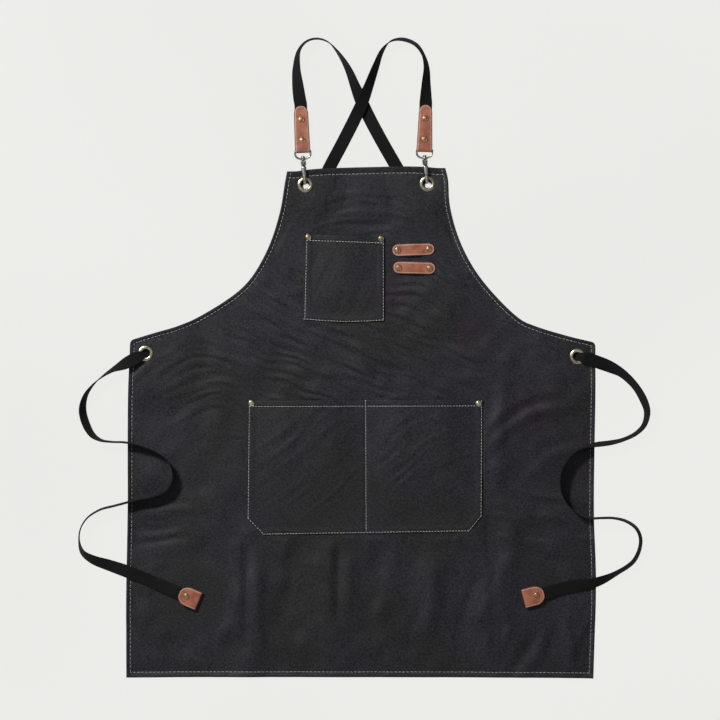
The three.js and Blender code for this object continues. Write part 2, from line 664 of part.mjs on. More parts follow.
function hookGeometry() {
  const bend = (HOOK.noseZ - HOOK.spineZ) / 2;
  const path = [vec(0, HOOK.headStartY + 2, HOOK.spineZ), vec(0, HOOK.bendY, HOOK.spineZ)];
  const bendSteps = 7;
  for (let i = 1; i < bendSteps; i++) {
    const angle = (Math.PI * i) / bendSteps;
    path.push(vec(0, HOOK.bendY - bend * Math.sin(angle), AXIS_Z - bend * Math.cos(angle)));
  }
  path.push(vec(0, HOOK.bendY, HOOK.noseZ), vec(0, HOOK.noseTipY, HOOK.noseZ));
  const low = HOOK.spineZ - HOOK.wire * 0.9;
  const throat = { y: 31.6, z: 5.2 };
  const head = acrossX([
    [HOOK.headStartY, low],
    [HOOK.heelY, low],
    [HOOK.headEndY, AXIS_Z - 2.4],
    [HOOK.headEndY, AXIS_Z + 2.2],
    [HOOK.pivotY + 2.0, HOOK.pivotZ + 1.4],
    [HOOK.pivotY + 0.6, HOOK.pivotZ + 2.0],
    [HOOK.pivotY - 1.2, HOOK.pivotZ + 1.6],
    [HOOK.pivotY - 1.8, HOOK.pivotZ - 0.8],
    [throat.y, throat.z],
    [HOOK.headStartY, low + 2.4],
  ], HOOK.headWidth);
  const slotStart = HOOK.headStartY - 1;
  const slotTop = HOOK.pivotZ + DRILL;
  const slot = acrossX([
    [slotStart, HOOK.slotFloor],
    [HOOK.slotEndY, HOOK.slotFloor],
    [HOOK.slotEndY, slotTop],
    [slotStart, slotTop],
  ], HOOK.slotWidth);
  const pin = new THREE.CylinderGeometry(HOOK.pin, HOOK.pin, HOOK.headWidth - 2 * GAP, HOOK.sides);
  pin.rotateZ(Math.PI / 2);
  pin.translate(0, HOOK.pivotY, HOOK.pivotZ);
  const neckStart = HOOK.headEndY - 0.4;
  const neckEnd = HOOK.bossY + HOOK.boss.length / 2 + HOOK.neckPlay;
  const neck = turned([
    [0, neckStart],
    [HOOK.neck, neckStart],
    [HOOK.neck, neckEnd],
    [HOOK.ball, neckEnd],
    [HOOK.ball * 0.9, neckEnd + HOOK.ballLength * 0.56],
    [0, neckEnd + HOOK.ballLength],
  ], HOOK.sides);
  neck.rotateX(-Math.PI / 2);
  neck.translate(0, 0, AXIS_Z);
  return join([cut(head, [slot]), wire(path, HOOK.wire), pin, neck]);
}

function gateGeometry() {
  const noseUnder = HOOK.noseZ - HOOK.wire - GAP;
  const root = GATE.knuckle * 0.8;
  const bar = acrossX([
    [GATE.tipY, noseUnder - GATE.thickness],
    [HOOK.pivotY, HOOK.pivotZ - root],
    [HOOK.pivotY, HOOK.pivotZ + root],
    [HOOK.noseTipY + 2.4, noseUnder + 1.4],
    [HOOK.noseTipY + 0.5, noseUnder],
    [GATE.tipY, noseUnder],
  ], GATE.width);
  const boreRadius = HOOK.pin + GATE.pinPlay;
  const knuckle = new THREE.CylinderGeometry(GATE.knuckle, GATE.knuckle, GATE.width, 12);
  const bore = new THREE.CylinderGeometry(boreRadius, boreRadius, DRILL, HOOK.sides);
  for (const round of [knuckle, bore]) {
    round.rotateZ(Math.PI / 2);
    round.translate(0, HOOK.pivotY, HOOK.pivotZ);
  }
  return cut(join([bar, knuckle]), [bore]);
}

function eyeGeometry() {
  const { halfWidth, wire: radius, corner, cornerRise } = EYE;
  const drop = HOOK.barY - HOOK.bossY;
  const shoulder = drop - cornerRise;
  const arcSteps = 12;
  const arcRounding = 0.8;
  const loop = [];
  for (let i = 0; i <= arcSteps; i++) {
    const angle = (Math.PI * i) / arcSteps;
    loop.push(vec(-halfWidth * Math.cos(angle), shoulder * (1 - Math.sin(angle) ** arcRounding), 0));
  }
  const inset = corner * 0.3;
  const cornerY = drop - corner * 0.38;
  loop.push(vec(halfWidth - inset, cornerY, 0), vec(halfWidth - corner, drop, 0));
  loop.push(vec(corner - halfWidth, drop, 0), vec(inset - halfWidth, cornerY, 0));
  const boss = roundPost(HOOK.boss.radius, HOOK.boss.length / 2, HOOK.sides);
  const bore = roundPost(HOOK.neck + HOOK.neckPlay, HOOK.boss.length, HOOK.sides);
  for (const round of [boss, bore]) round.rotateX(-Math.PI / 2);
  return cut(join([wire(loop, radius, 6, true), boss]), [bore]);
}

// Leather folded over in a U, cut to its plan outline and drilled for its rivets

function foldedLeather({ length, inner, bar, plan, rivets }) {
  const outer = inner + LEATHER;
  const foldSteps = 6;
  const arc = (radius) => Array.from({ length: foldSteps + 1 }, (_, i) => {
    const angle = Math.PI / 2 + (Math.PI * i) / foldSteps;
    return [radius * Math.cos(angle), radius * Math.sin(angle)];
  });
  const shoulder = FOLD_SHOULDER;
  const profile = [
    [length, outer], [shoulder, outer], ...arc(bar + LEATHER), [shoulder, -outer], [length, -outer],
    [length, -inner], [shoulder, -inner], ...arc(bar).reverse(), [shoulder, inner], [length, inner],
  ];
  const shape = new THREE.Shape(plan.map(([x, y]) => new THREE.Vector2(x, y)));
  const prism = new THREE.ExtrudeGeometry(shape, { depth: 2 * DRILL, bevelEnabled: false });
  const folded = overlap(acrossX(profile, 2 * DRILL), prism.translate(0, 0, -DRILL));
  return cut(folded, rivets.map((y) => rivetDrill(0, y)));
}

function roundEnd(halfWidth, centreY, steps = 10) {
  return Array.from({ length: steps + 1 }, (_, i) => {
    const angle = (Math.PI * i) / steps;
    return [halfWidth * Math.cos(angle), centreY + halfWidth * Math.sin(angle)];
  });
}

const WEB_INNER = WEBBING.thickness / 2 + GAP;

function tabGeometry() {
  const plan = [
    [-TAB.halfAtEye, -FOLD_SHOULDER],
    [TAB.halfAtEye, -FOLD_SHOULDER],
    ...roundEnd(TAB.halfAtEnd, TAB.length - TAB.halfAtEnd),
  ];
  return foldedLeather({
    length: TAB.length + 1,
    inner: WEB_INNER,
    bar: EYE.wire + TAB.barPlay,
    plan,
    rivets: TAB.rivets,
  });
}

function tipGeometry() {
  const plan = [
    [-TIP.halfWidth, -FOLD_SHOULDER],
    [TIP.halfWidth, -FOLD_SHOULDER],
    ...roundEnd(TIP.halfWidth, TIP.length - TIP.halfWidth),
  ];
  return foldedLeather({
    length: TIP.length + 1,
    inner: WEB_INNER,
    bar: WEB_INNER,
    plan,
    rivets: [TIP.rivet],
  });
}

// Frames that carry the hooks, the tabs and the tips

function snapFrame({ eyelet, turn }) {
  const frame = new THREE.Group();
  frame.position.set(EYELETS[eyelet].x, EYELETS[eyelet].y, 0);
  frame.rotation.z = radians(turn);
  frame.updateMatrixWorld(true);
  return frame;
}

function eyeFrame(snap) {
  const frame = new THREE.Group();
  frame.position.copy(snapFrame(snap).localToWorld(vec(0, HOOK.bossY, AXIS_Z)));
  frame.rotation.z = radians(snap.eyeTurn);
  frame.updateMatrixWorld(true);
  return frame;
}

function tabFrame(snap) {
  const frame = new THREE.Group();
  frame.position.copy(eyeFrame(snap).localToWorld(vec(0, HOOK.barY - HOOK.bossY, 0)));
  frame.rotation.set(-Math.atan(TAB.slope), 0, radians(snap.tabTurn), 'ZYX');
  frame.updateMatrixWorld(true);
  return frame;
}

const TIP_Z = CANVAS_TOP + TIP.lift + LEATHER + WEB_INNER;

function tipFrame({ x, y, turn }) {
  const frame = new THREE.Group();
  frame.position.set(x, y, TIP_Z);
  frame.rotation.z = radians(turn - 90);
  frame.updateMatrixWorld(true);
  return frame;
}

// Webbing strap: a flat ribbon along its route, inside its tab at one end and its tip at the other

function strapRows(side) {
  const tab = tabFrame(SNAPS[side]);
  const tip = tipFrame(side === 'left' ? TIPS.right : TIPS.left);
  const inFrame = (frame, y, roll) => ({ centre: frame.localToWorld(vec(0, y, 0)), roll, gather: 1 });
  const route = ROUTES[side].map(({ x, y, rise: lift, roll, gather = 1 }) => {
    const turn = radians(roll);
    const tall = (WEBBING.width * gather / 2) * Math.abs(Math.sin(turn));
    const thick = (WEBBING.thickness / gather / 2) * Math.abs(Math.cos(turn));
    return { centre: vec(x, y, lift + tall + thick), roll: turn, gather };
  });
  const start = TAB.strapRows.map((y) => inFrame(tab, y, 0));
  const end = TIP.strapRows.map((y) => inFrame(tip, y, route.at(-1).roll));
  return [...start, ...route, ...end];
}

function strapGeometry(side) {
  const rows = strapRows(side);
  const path = new THREE.CatmullRomCurve3(rows.map((row) => row.centre), false, 'centripetal');
  const count = (rows.length - 1) * ROUTE_STEPS;
  const sections = [];
  for (let i = 0; i <= count; i++) {
    const t = i / count;
    const place = Math.min(Math.floor(i / ROUTE_STEPS), rows.length - 2);
    const share = i / ROUTE_STEPS - place;
    const roll = lerp(rows[place].roll, rows[place + 1].roll, share);
    const gather = lerp(rows[place].gather, rows[place + 1].gather, share);
    const centre = path.getPoint(t);
    const along = path.getTangent(t);
    const level = vec(along.y, -along.x, 0).normalize();
    const up = level.clone().cross(along).normalize();
    const across = level.clone().multiplyScalar(Math.cos(roll)).addScaledVector(up, Math.sin(roll));
    const face = across.clone().cross(along).normalize();
    const halfWidth = (WEBBING.width * gather) / 2;
    const halfThick = WEBBING.thickness / gather / 2;
    sections.push([[-1, -1], [1, -1], [1, 1], [-1, 1]].map(([w, n]) => centre.clone()
      .addScaledVector(across, w * halfWidth)
      .addScaledVector(face, n * halfThick)));
  }
  const ribbon = sweep(sections);
  const tab = tabFrame(SNAPS[side]);
  const tip = tipFrame(side === 'left' ? TIPS.right : TIPS.left);
  const drilled = (frame, y) => rivetDrill(0, y).applyMatrix4(frame.matrixWorld);
  return cut(ribbon, [...TAB.rivets.map((y) => drilled(tab, y)), drilled(tip, TIP.rivet)]);
}

// The whole apron

const apron = new THREE.Group();
apron.add(piece('apron_panel', panelGeometry(), 'canvas'));
apron.add(piece('chest_pocket', pocketGeometry(CHEST_POCKET), 'canvas'));
apron.add(piece('front_pocket', pocketGeometry(FRONT_POCKET), 'canvas'));

function addRivet(parent, name, { x, y }, low, high) {
  const mesh = piece(name, rivetGeometry(low, high), 'brass');
  mesh.position.set(x, y, 0);
  parent.add(mesh);
}

const sides = ['left', 'right'];
const pocketCorner = CANVAS_TOP + GAP + CANVAS + POCKET_HEM;
sides.forEach((side, i) => {
  addRivet(apron, `chest_pocket_rivet_${side}`, CHEST_POCKET.rivets[i], CANVAS_FLOOR, pocketCorner);
  addRivet(apron, `front_pocket_rivet_${side}`, FRONT_POCKET.rivets[i], CANVAS_FLOOR, pocketCorner);
});

for (const [name, place] of Object.entries(TOOL_LOOPS)) {
  const loop = piece(name, toolLoopGeometry(), 'leather');
  loop.position.set(place.x, place.y, 0);
  loop.rotation.z = radians(place.turn);
  apron.add(loop);
  loopRivets(place).forEach((spot, i) => {
    addRivet(apron, `${name}_rivet_${sides[i]}`, spot, CANVAS_FLOOR, CANVAS_TOP + GAP + LEATHER);
  });
}

for (const [name, { x, y }] of Object.entries(EYELETS)) {
  const eyelet = piece(name, eyeletGeometry(), 'pewter');
  eyelet.position.set(x, y, 0);
  apron.add(eyelet);
}

const tabLayers = WEB_INNER + LEATHER;
for (const side of sides) {
  const snap = snapFrame(SNAPS[side]);
  snap.add(piece(`snap_hook_${side}`, hookGeometry(), 'pewter'));
  snap.add(piece(`snap_gate_${side}`, gateGeometry(), 'pewter'));
  apron.add(snap);

  const eye = eyeFrame(SNAPS[side]);
  eye.add(piece(`snap_eye_${side}`, eyeGeometry(), 'pewter'));
  apron.add(eye);

  const tab = tabFrame(SNAPS[side]);
  tab.add(piece(`strap_tab_${side}`, tabGeometry(), 'leather'));
  TAB.rivets.forEach((y, i) => {
    const level = ['lower', 'upper'][i];
    addRivet(tab, `strap_tab_rivet_${side}_${level}`, { x: 0, y }, -tabLayers, tabLayers);
  });
  apron.add(tab);

  const tip = tipFrame(TIPS[side]);
  tip.add(piece(`tie_tip_${side}`, tipGeometry(), 'leather'));
  addRivet(tip, `tie_tip_rivet_${side}`, { x: 0, y: TIP.rivet }, -tabLayers, tabLayers);
  apron.add(tip);

  apron.add(piece(`strap_${side}`, strapGeometry(side), 'webbing'));
}

export default apron;
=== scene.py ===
"""Cross-back work apron: cloth, webbing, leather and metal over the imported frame.

The tables are in millimetres, in the frame of the solids. Meshes are made in metres.
"""
import math

import bmesh
import bpy
import numpy as np
from mathutils import Matrix, Vector


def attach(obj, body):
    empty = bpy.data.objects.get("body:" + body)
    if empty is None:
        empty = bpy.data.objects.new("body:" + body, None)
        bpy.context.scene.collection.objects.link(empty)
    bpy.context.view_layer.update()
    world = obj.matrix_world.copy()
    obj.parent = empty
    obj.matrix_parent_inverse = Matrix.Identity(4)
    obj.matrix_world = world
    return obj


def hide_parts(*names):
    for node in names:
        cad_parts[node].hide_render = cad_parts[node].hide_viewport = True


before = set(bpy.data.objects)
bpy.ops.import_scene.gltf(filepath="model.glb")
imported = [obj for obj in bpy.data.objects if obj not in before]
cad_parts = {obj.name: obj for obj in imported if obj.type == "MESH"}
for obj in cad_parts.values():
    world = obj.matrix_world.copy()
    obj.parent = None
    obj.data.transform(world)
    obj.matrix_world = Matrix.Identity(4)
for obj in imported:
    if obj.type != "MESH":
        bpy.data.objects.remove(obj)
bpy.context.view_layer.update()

MM = 0.001
SEED = 11

# Layers of cloth and leather

CANVAS = 1.0
CANVAS_TOP = 3.1
EYELET_LIFT = 4.1
HEM_THICK = {"top": 1.9, "rest": 3.1}
# Hem: roll of its edge, tuck under it, padding, groove of the seam, lap, upward curl and puckers
HEM = {
    "roll": 1.3, "tuck": 0.9, "pad": 0.45, "pad_run": 1.6, "groove": 0.4, "groove_half": 1.0, "lap": 1.5,
    "curl": 1.5, "curl_run": 9, "pucker_run": 16, "pucker": (8, 13, 0.12),
}
CLEAR_OF_FLOOR = 0.05
SEAM = {"top": 9.8, "armhole": 5.8, "side": 6.2, "bottom": 8.0}
LEATHER = 1.6
# Space between one layer and the next
LAYER_GAP = 0.3
WEBBING = {"width": 19.0, "thick": 1.5}
WEB_INNER = WEBBING["thick"] / 2 + LAYER_GAP

# Outline of the panel

EDGES = {
    "left": {
        "armhole": [(-113, 278), (-116, 262), (-124, 216), (-144.4, 157), (-177, 107), (-242, 62),
                    (-276.5, 46.5), (-312, 36), (-348, 25)],
        "side": [(-348, 25), (-351.5, -70), (-352, -230), (-354, -350), (-354, -480.6)],
    },
    "right": {
        "armhole": [(124, 283), (128, 266), (131, 226), (148, 169), (177.2, 118), (236, 57),
                    (258.3, 46.5), (307.2, 31.5), (348.6, 21.4)],
        "side": [(348.6, 21.4), (348.8, -70), (346.9, -235), (350, -333), (346, -482)],
    },
}
ROW_BOW = {"top": -4.0, "waist": 85.0, "bottom": -1.2, "across": 4.0, "above": 2.0, "below": 1.5}
BAND = [0.0, 0.4, 1.0, 2.2, 4.0, 6.0, 7.8, 9.6, 11.4, 14.0]
PANEL_ROWS = {"armhole": 150, "side": 168}
# Run below the bib's top over which the rows turn square to the armhole
TOP_LEVEL = 45.0
PANEL_COLUMNS = 200

EYELETS = {
    "bib_eyelet_left": (-86, 258),
    "bib_eyelet_right": (97, 259.5),
    "waist_eyelet_left": (-325, 5.5),
    "waist_eyelet_right": (322, 1),
}
BIB_LIFT = {"flat": 16, "reach": 88}
WAIST_LIFT = {"flat": 46, "reach": 100}
STRAP_LIFT = 1.2
# Where the bib's lift and its calmer cloth begin, and the run of both
BIB_START = {"lift": 196, "calm": 190, "run": 40}
EYELET_HOLE = 7.3
# Painted pool of light on the ground, where the key light would reach through an open eyelet: its place from
# the eyelet's middle, and its radius
PAINTED_LIGHT_SPOT = {"x": 1.6, "y": -2.4, "radius": 3.6}
# Floor: half size and drop in metres, strength of its light, and radii of the painted shade under an eyelet
FLOOR = {"half": 3.0, "drop": 0.0004, "glow": 0.97, "painted_shade": (11, 16)}

# Relief of the panel. Folds: ridge at x from top to bottom, half width and height.
FOLDS = [
    (-165, -290, -520, 44, 3.0),
    (-42, -290, -520, 48, 2.2),
    (104, -290, -440, 44, 2.8),
    (204, -275, -520, 38, 3.2),
]
FOLD_RUNOUT = 60
# Soft waves of the cloth: size and height
SOFT_WAVES = ((62, 1.5), (24, 1.0))
# Crumples: height for each unit of their table, share lost on the bib, limit beside a pocket and away from it
CRUMPLES = {"height": 1.6, "bib_loss": 0.25, "beside": 0.85, "more": 1.9, "reach": 30}
# Lines of a crumple: waves that bend them, length and width for each unit of spacing, rim of their patch
CRUMPLE_LINES = {"stray": (60, 170, 4.0), "long": 5.0, "wide": 0.6, "rim": 1.3}
CREASE_END = {"share": 0.35, "run": 30}
# Lowest relief of the cloth, and the same over a strap
LOWEST = {"cloth": -1.8, "strap": -0.25}
# Strap behind the cloth: how high and how far up it lies, and the reach and fade of what it holds up
BEHIND = {"rise": 0.6, "top_y": 330, "reach": 30, "fade": 18}
# Highest relief under a pocket or tool loop, and its slope beside them
SEATED = {"rise": 0.25, "slope": 0.28}
# Creases: path, half width and height, below nought for a valley
CREASES = [
    ([(-140, -36), (-60, -33), (18, -38)], 5.0, -0.55),
    ([(-84, 46), (-20, 49), (34, 45)], 5.0, -0.45),
    ([(226, 20), (212, -40), (205, -96), (203, -150), (200, -214)], 13.0, 2.2),
    ([(226, -97), (208, -113), (192, -133)], 7.0, 1.2),
    ([(232, -104), (211, -131), (191, -158)], 6.0, -1.2),
    ([(234, -96), (264, -78), (294, -74)], 12.0, 1.0),
    ([(190, -220), (196, -300), (206, -450)], 10.0, -2.2),
    ([(224, -240), (228, -340), (232, -440)], 13.0, 2.2),
    ([(-173, -276), (-175, -430)], 7.0, -1.9),
    ([(-157, -290), (-155, -420)], 9.0, 1.3),
    ([(-190, -290), (-188, -400)], 9.0, 1.0),
    ([(-37, -270), (-38, -395)], 6.0, -1.8),
    ([(-20, -290), (-22, -380)], 9.0, 1.0),
    ([(102, -300), (96, -396)], 10.0, 1.8),
    ([(41, -420), (42, -464)], 8.0, 1.2),
    ([(296, -378), (319, -462)], 10.0, 2.4),
    ([(-320, -11), (-330, -21), (-340, -29)], 5.0, 3.0),
    ([(306, -16), (322, -30), (342, -36)], 6.0, 1.4),
    ([(-49, 283), (-86, 208)], 7.0, 0.5),
    ([(52, 283), (92, 208)], 7.0, 0.5),
    ([(-318, -8), (-290, -60), (-250, -96)], 9.0, 0.8),
    ([(-300, 10), (-250, -10), (-200, -60)], 8.0, 0.6),
]
# Crumples: middle, half sizes, slope of the lines in degrees, radius of their bend (0 for straight,
# below nought for a sag), spacing and height
RIPPLES = [
    ((-49, -4), (210, 84), -22, 0, 9.0, 0.85),
    ((-131, 85), (80, 80), -36, 0, 9.0, 1.0),
    ((101, 100), (84, 66), -20, 300, 9.0, 0.9),
    ((101, -18), (96, 58), -28, -260, 9.0, 0.85),
    ((11, 213), (112, 44), -3, 260, 9.5, 0.85),
    ((-244, -48), (100, 80), 8, 120, 9.0, 0.5),
    ((244, -95), (80, 80), 30, 140, 24.0, 1.2),
    ((274, -250), (86, 62), -12, 0, 16.0, 1.3),
    ((-310, -240), (58, 90), 10, 160, 18.0, 1.0),
    ((0, -350), (240, 110), 80, 0, 30.0, 1.0),
    ((250, -400), (110, 90), 66, 0, 22.0, 1.5),
    ((-250, -400), (110, 90), 82, 0, 26.0, 1.1),
]
POCKET_RIPPLES = [
    ((-84, -150), (100, 90), 40, 0, 11.0, 0.32),
    ((92, -140), (90, 80), 30, 190, 11.0, 0.32),
    ((-28, 112), (78, 72), 62, 0, 12.0, 0.22),
]
# Places where the dye leans to violet: x, y and radius
DYE_SPOTS = [(252, -80, 62), (165, 38, 46), (40, 92, 40), (330, -150, 44)]
# Places where a tip lies on the cloth and keeps it flat: x, y and radius
STILL = [(-255, -361, 44), (252, -359, 44)]
STILL_FADE = 26

# Patch pockets: leftX, leftY, rightX, rightY of the mouth, the hem line, the turn and the foot
CHEST_POCKET = {
    "rows": [(-85, 184, 32.8, 180), (-85.3, 174.5, 32.8, 170.5), (-88, 58.5, 32.8, 57),
             (-88, 55.5, 32.8, 54)],
    "sag": 3.0,
    "bays": 1,
    "bulge": 3.0,
    "size": (96, 92),
}
FRONT_POCKET = {
    "rows": [(-171, -65, 180, -64), (-171.2, -74.5, 180, -73.5), (-173, -242, 179.5, -238),
             (-149, -267, 160, -262)],
    "sag": 0.0,
    "bays": 2,
    "bulge": 4.0,
    "size": (200, 120),
}
POCKET_SEAM = {"edge": 1.4, "fold": 8.5, "hem": 9.2, "middle": 3.0}
# Relief of a pocket: start and run of its stand-off and the sink of its foot, rounded edge, turned-in fold,
# hem, grooves of the seams, calm rim, crumples and waves
POCKET_RELIEF = {
    "stand_from": 6, "stand_run": 55, "middle_from": 2, "sink": 2.2, "edge": 0.85, "roll": 1.0,
    "fold": 0.45, "fold_run": 6.0, "hem": 0.7, "hem_run": 1.6, "groove": 0.3, "edge_half": 0.8,
    "hem_half": 1.0, "middle": 0.5, "calm_from": 2, "calm_run": 8, "crumple": 1.4, "wave": (30, 0.5),
    "lowest": -0.4, "thin": 0.1,
}
# Places of the close rows and columns, from the edge of a pocket
POCKET_BAND = (0.0, 0.35, 0.9, 1.7, 2.6, 4.2, 6.2, 8.2, 9.6, 11.5)
POCKET_BASE = CANVAS_TOP + LAYER_GAP + CANVAS
# Boxes of the panel that pockets and tool loops cover, as low and high corners
COVERED = [((-90, 50), (35, 186)), ((-175, -270), (182, -62)), ((42, 122), (112, 172))]

# Rivets: x, y of the ones that stand upright through the panel
CHEST_RIVETS = [(-81, 179.5), (28, 177)]
FRONT_RIVETS = [(-166.5, -69.5), (174, -69.5)]
RIVET = {"cap": 4.6, "dome": 1.5, "back": 3.8, "post": 1.3, "sides": 28}

# Leather: tool loops (middle and turn), folded tabs and folded tips
TOOL_LOOPS = {"tool_loop_upper": (76.2, 160.8, 2.0), "tool_loop_lower": (77.6, 133.5, -1.3)}
TOOL_LOOP = {"length": 63.6, "width": 18.6, "bow": 2.6, "rivet_span": 46.5}
TAB = {"length": 68.0, "slope": 0.05, "rivets": (16, 47.2)}
# Half widths of each tab at the eye and at the free end
TAB_HALF = {"left": (11.5, 10.5), "right": (12.0, 9.6)}
TIP = {"length": 30.0, "half_width": 14.5, "rivet": 18, "z": CANVAS_TOP + 1.5 + LEATHER + WEB_INNER}
TIPS = {"left": (-247, -365, 157.4), "right": (243.3, -361.4, 14.5)}
TAB_STRAP_ROWS = (6, 24, 60, 70)
TIP_STRAP_ROWS = (34, 12, 3)
# Folded leather: start of its bend, end of its flat run, start of its curve round the bar, and step
FOLDED = {"shoulder": 9.0, "straight": 13.0, "curve": 4, "step": 2.0}

# Snap hooks: eyelet, and turns of the hook, its eye and the tab
SNAPS = {
    "left": ("bib_eyelet_left", 4.3, 3.4, 2.5),
    "right": ("bib_eyelet_right", 5.8, 2.0, -1.8),
}
HOOK = {
    "wire": 1.6, "spine_half": 2.4, "spine_z": 1.9, "nose_z": 12.0, "bend_y": 6.6, "nose_tip_y": 27.0,
    "tip": 1.4, "head_start_y": 29.0, "throat": (31.6, 5.2), "heel_y": 32.5, "head_end_y": 36.6,
    "head_width": 7.6, "slot_width": 3.0, "slot_floor": 7.6, "pivot_y": 34.0, "pivot_z": 10.2, "pin": 0.8,
    "neck": 1.5, "ball": 3.2, "boss_y": 38.4, "bar_y": 50.7,
}
# Half width of the hook along its nose, from the bend to the tip
HOOK_WIDTH = ((0, 6, 11, 15, 26), (2.8, 2.6, 2.7, 3.3, 3.8))
AXIS_Z = (HOOK["spine_z"] + HOOK["nose_z"]) / 2
EYE = {
    "bar": 1.1, "wire": 1.45, "half_width": 11.6, "corner": 1.2, "corner_rise": 1.6, "boss": 3.1,
    "boss_length": 2.4,
}
GATE = {"width": 2.4, "thick": 1.6, "knuckle": 1.7, "tip_y": 25.8, "blade_end_y": 30.8, "blade_width": 5.6}
# Turn in degrees from which an edge of the castings stays sharp
SHARP_EDGE = 50

# Upper half of the webbing's section: shares of its half width and half thickness
WEB_SECTION = [
    (-1, 0.45), (-0.97, 0.85), (-0.9, 1), (-0.6, 0.9), (-0.2, 0.96),
    (0.2, 0.96), (0.6, 0.9), (0.9, 1), (0.97, 0.85), (1, 0.45),
]
# Routes of the straps: x, y, height of the lower edge, roll in degrees, share of the full width
UNDER = 0.25
ON_PANEL = CANVAS_TOP + 0.9
ROUTES = {
    "left": [
        (-94.4, 388, 0.9, 8, 1), (-97.2, 410, 0.2, 31, 1), (-98.8, 433, 0.2, 54, 1), (-95, 459, 0.2, 75, 1),
        (-83.6, 472.4, 0.2, 77, 1), (-68, 476.4, 0.2, 77, 1), (-52, 471.6, 0.2, 82, 1),
        (-37, 456, 0.2, 97, 1), (-22, 432, 0.2, 117, 1), (-10, 403, 0.2, 140, 1), (-1, 382, 0.4, 168, 1),
        (11.8, 355.4, 0.3, 178, 1), (31.4, 319.2, UNDER, 180, 1), (51, 285, UNDER, 180, 1),
        (84, 228, UNDER, 180, 1), (121, 160, UNDER, 180, 1), (152, 98, UNDER, 180, 1),
        (198, 44, UNDER, 180, 1), (258, 15, UNDER, 180, 1), (300, 6.5, 0.45, 180, 0.8),
        (317.4, 2.1, 0.6, 180, 0.6), (324.6, 0.3, 5.3, 180, 0.6), (330, -1.0, 11.2, 180, 0.84),
        (339, -3.2, 11, 180, 1), (353.6, -8.2, 8.2, 178, 1), (370.7, -14.8, 1.2, 154, 1),
        (388, -24, 0.2, 128, 1), (408.2, -43.6, 0.2, 118, 1), (420.4, -63.8, 0.2, 121, 1),
        (426, -82, 0.2, 112, 1), (421.6, -101.6, 0.2, 105, 1), (409, -114.6, 0.2, 102, 1),
        (390, -123.6, 0.6, 101, 1), (371, -128.2, 2.6, 108, 1), (352, -130.7, ON_PANEL, 110, 1),
        (334, -134, ON_PANEL, 98, 1), (318, -141, ON_PANEL, 94, 1), (304, -156, ON_PANEL, 92, 1),
        (296, -176, ON_PANEL, 90, 1), (297, -203, ON_PANEL, 90, 1), (306, -220, ON_PANEL, 89, 1),
        (322, -234, ON_PANEL, 88, 1), (339, -241, ON_PANEL, 87, 1), (356, -240.8, ON_PANEL, 86, 1),
        (375, -241, 2, 85, 1), (395, -246, 0.4, 80, 1), (410.6, -257.6, 0.2, 75, 1),
        (416.4, -276, 0.2, 71, 1), (406.8, -304.2, 0.2, 66, 1), (380, -323.4, 1.4, 66, 1),
        (351, -336.4, ON_PANEL + 1.2, 38, 1), (316, -343.8, ON_PANEL, 4, 1),
        (290, -349, ON_PANEL + 1.0, 0, 1),
    ],
    "right": [
        (94.9, 388, 0.9, -22, 1), (95.3, 410, 0.2, -47, 1), (95.8, 433, 0.2, -64, 1),
        (91.2, 451.6, 0.2, -75, 1), (80.2, 467.2, 0.2, -69, 1), (61, 475.2, 0.2, -68, 1),
        (43, 472.8, 0.2, -79, 1), (30, 459, 0.2, -103, 1), (19, 432, 1, -121, 1),
        (8.8, 403.8, 4.4, -137, 1), (0.2, 382, 6.6, -155, 1), (-11.8, 356.4, 3.6, -174, 1),
        (-31, 319, 0.4, -180, 1), (-49, 285, UNDER, -180, 1), (-80, 220, UNDER, -180, 1),
        (-113, 155, UNDER, -180, 1), (-149, 95, UNDER, -180, 1), (-200, 44, UNDER, -180, 1),
        (-262, 18, UNDER, -180, 1), (-303, 10.5, 0.45, -180, 0.8), (-324.5, 5.6, 0.6, -180, 0.6),
        (-329, 4, 5.3, -180, 0.6), (-333.4, 1.2, 11.2, -180, 0.86), (-341, -3.0, 11, -182, 1),
        (-354.6, -9.8, 8.2, -206, 1), (-371.2, -17.6, 1.2, -247, 1), (-388.4, -28.6, 0.2, -262, 1),
        (-403.8, -42.2, 0.2, -272, 1), (-415, -59, 0.2, -285, 1), (-419, -79, 0.2, -299, 1),
        (-414, -100, 0.2, -302, 1), (-404.4, -116.6, 0.2, -291, 1), (-392, -124.5, 0.6, -277, 1),
        (-375, -127, 2.6, -273, 1), (-356, -127.6, ON_PANEL, -274, 1), (-330, -133, ON_PANEL, -272, 1),
        (-303, -145, ON_PANEL, -268, 1), (-289, -160, ON_PANEL, -264, 1), (-284, -181, ON_PANEL, -264, 1),
        (-293, -199, ON_PANEL, -264, 1), (-315, -209, ON_PANEL, -265, 1), (-336, -213, ON_PANEL, -265, 1),
        (-354, -218, ON_PANEL, -265, 1), (-372, -222.8, 2.2, -265, 1), (-393, -228.6, 0.4, -265, 1),
        (-412, -241, 0.2, -265, 1), (-422, -257, 0.2, -264, 1), (-424, -275, 0.2, -261, 1),
        (-419, -292, 0.2, -243, 1), (-404.4, -303, 0.2, -223, 1), (-378, -312.4, 1.6, -203, 1),
        (-353, -321, ON_PANEL + 1.2, -188, 1), (-320, -335, ON_PANEL, -180, 1),
        (-292, -346.5, ON_PANEL + 1.0, -180, 1),
    ],
}

# Stitches: spacing, length and thickness of the thread
HEM_STITCH = (6.0, 5.5, 0.56)
POCKET_STITCH = (4.4, 4.0, 0.75)
THREAD_LIFT = 0.12
SEAM_STEP = {"edge": 4.0, "laid": 3.0}
# Turn in degrees from which a seam starts afresh at a corner
SEAM_CORNER = 25


# Curves and meshes

def smooth(t):
    t = np.clip(t, 0.0, 1.0)
    return t * t * (3.0 - 2.0 * t)


